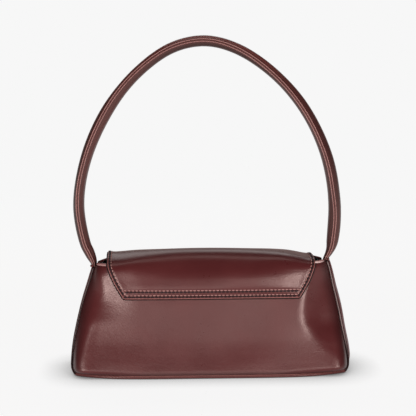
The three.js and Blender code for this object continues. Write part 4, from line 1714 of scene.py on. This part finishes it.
# Floor, light and camera, with lengths in metres
BACKGROUND = 0.93
FLOOR_GLOW = 1.04
GLOW_SPAN = (0.35, 1.2)  # distances from the bag over which the floor turns plain
FLOOR_RADIUS = 30
FLOOR_PLAIN = 0.85  # share of the plain floor beside the bag
FLOOR_SHADE = 0.036  # reach of the shadow under the bag
WARM_BACKDROP = (1.0, 0.74, 0.69, 1.0)
BACKDROP_LEVEL = 0.4
BACKDROP_TURN = (0.3, 0.75)
BACKDROP_FALL = (0.12, 0.66)
BACKDROP_SHARES = (1.0, 0.05)  # at the bottom and at the top
SKY_LEVELS = (0.14, 0.07)
SKY_FALL = (0.1, 0.5)
LAMP_TARGET = Vector((0, 0, 0.1))
CAMERA_TARGET = Vector((0, 0, 0.1625))


def add_floor():
    bm = bmesh.new()
    bmesh.ops.create_circle(bm, cap_ends=True, segments=64, radius=FLOOR_RADIUS)
    mesh = bpy.data.meshes.new("floor")
    bm.to_mesh(mesh)
    bm.free()
    floor = link_object("floor", mesh)
    finish = bpy.data.materials.new("pale_floor")
    finish.use_nodes = True
    tree = finish.node_tree
    tree.nodes.clear()
    place = object_place(tree)
    distance = add_node(tree, "ShaderNodeVectorMath", {0: place}, operation="LENGTH").outputs["Value"]
    share = remap(tree, distance, *GLOW_SPAN, FLOOR_PLAIN, 1.0)
    lit = add_node(tree, "ShaderNodeBsdfDiffuse", {"Color": (0.9, 0.9, 0.9, 1)})
    glow = remap(tree, distance, *GLOW_SPAN, FLOOR_GLOW, BACKGROUND)
    shade = add_node(tree, "ShaderNodeAmbientOcclusion", {"Distance": FLOOR_SHADE}, samples=8).outputs["AO"]
    plain = add_node(tree, "ShaderNodeEmission", {"Color": calculate(tree, "MULTIPLY", glow, shade)})
    mixed = add_node(tree, "ShaderNodeMixShader", {0: share, 1: lit.outputs[0], 2: plain.outputs[0]})
    output = add_node(tree, "ShaderNodeOutputMaterial")
    tree.links.new(mixed.outputs[0], output.inputs["Surface"])
    mesh.materials.append(finish)


def set_world():
    """A pale studio: a warm backdrop behind the bag, dim overhead, and plain where the camera sees it."""
    world = bpy.data.worlds.new("studio")
    scene.world = world
    world.use_nodes = True
    tree = world.node_tree
    tree.nodes.clear()
    way = add_node(tree, "ShaderNodeTexCoord").outputs["Generated"]
    parts = add_node(tree, "ShaderNodeSeparateXYZ", {0: way}).outputs
    height = parts["Z"]
    behind = remap(tree, parts["Y"], *BACKDROP_TURN, 0.0, BACKDROP_LEVEL)
    backdrop = calculate(tree, "MULTIPLY", behind, remap(tree, height, *BACKDROP_FALL, *BACKDROP_SHARES))
    sky = calculate(tree, "ADD", backdrop, remap(tree, height, *SKY_FALL, *SKY_LEVELS))
    seen = add_node(tree, "ShaderNodeLightPath").outputs["Is Camera Ray"]
    level = add_node(tree, "ShaderNodeMix", {0: seen, 2: sky, 3: BACKGROUND}, data_type="FLOAT")
    tone = mix_colour(tree, seen, WARM_BACKDROP, (1, 1, 1, 1))
    background = add_node(tree, "ShaderNodeBackground", {"Color": tone, "Strength": level.outputs[0]})
    output = add_node(tree, "ShaderNodeOutputWorld")
    tree.links.new(background.outputs[0], output.inputs["Surface"])


def look_at(obj, place, target):
    obj.location = place
    obj.rotation_mode = "QUATERNION"
    obj.rotation_quaternion = (Vector(target) - Vector(place)).to_track_quat("-Z", "Y")


def from_angles(azimuth, elevation, distance, target):
    """The place at a distance from the target, with the azimuth in degrees from straight behind the bag."""
    a = math.radians(azimuth)
    e = math.radians(elevation)
    way = Vector((math.sin(a) * math.cos(e), -math.cos(a) * math.cos(e), math.sin(e)))
    return Vector(target) + way * distance


def add_softbox(name, azimuth, elevation, distance, size, watts):
    lamp = bpy.data.lights.new(name, "AREA")
    lamp.shape = "RECTANGLE"
    lamp.size = size[0]
    lamp.size_y = size[1]
    lamp.energy = watts
    place = from_angles(azimuth, elevation, distance, LAMP_TARGET)
    look_at(link_object(name, lamp), place, LAMP_TARGET)


def add_camera():
    lens = bpy.data.cameras.new("camera")
    lens.sensor_width = 36
    lens.lens = 106.5
    lens.shift_x = -0.0065
    lens.shift_y = 0.0032
    camera = link_object("camera", lens)
    place = from_angles(azimuth=-2.5, elevation=9, distance=1.231, target=CAMERA_TARGET)
    look_at(camera, place, CAMERA_TARGET)
    scene.camera = camera


scene.view_settings.view_transform = "Standard"
add_floor()
set_world()
add_softbox("left_softbox", -24, 0, 1.6, (0.36, 0.34), 11)
add_softbox("right_softbox", 24, 0, 1.6, (0.36, 0.34), 10)
add_softbox("front_softbox", 0, 2.3, 1.9, (1.25, 0.33), 3.25)
add_softbox("top_softbox", 0, 88, 1.8, (1.2, 0.5), 4)
add_softbox("back_softbox", 180, 42, 2.0, (1.4, 0.8), 6)
add_camera()
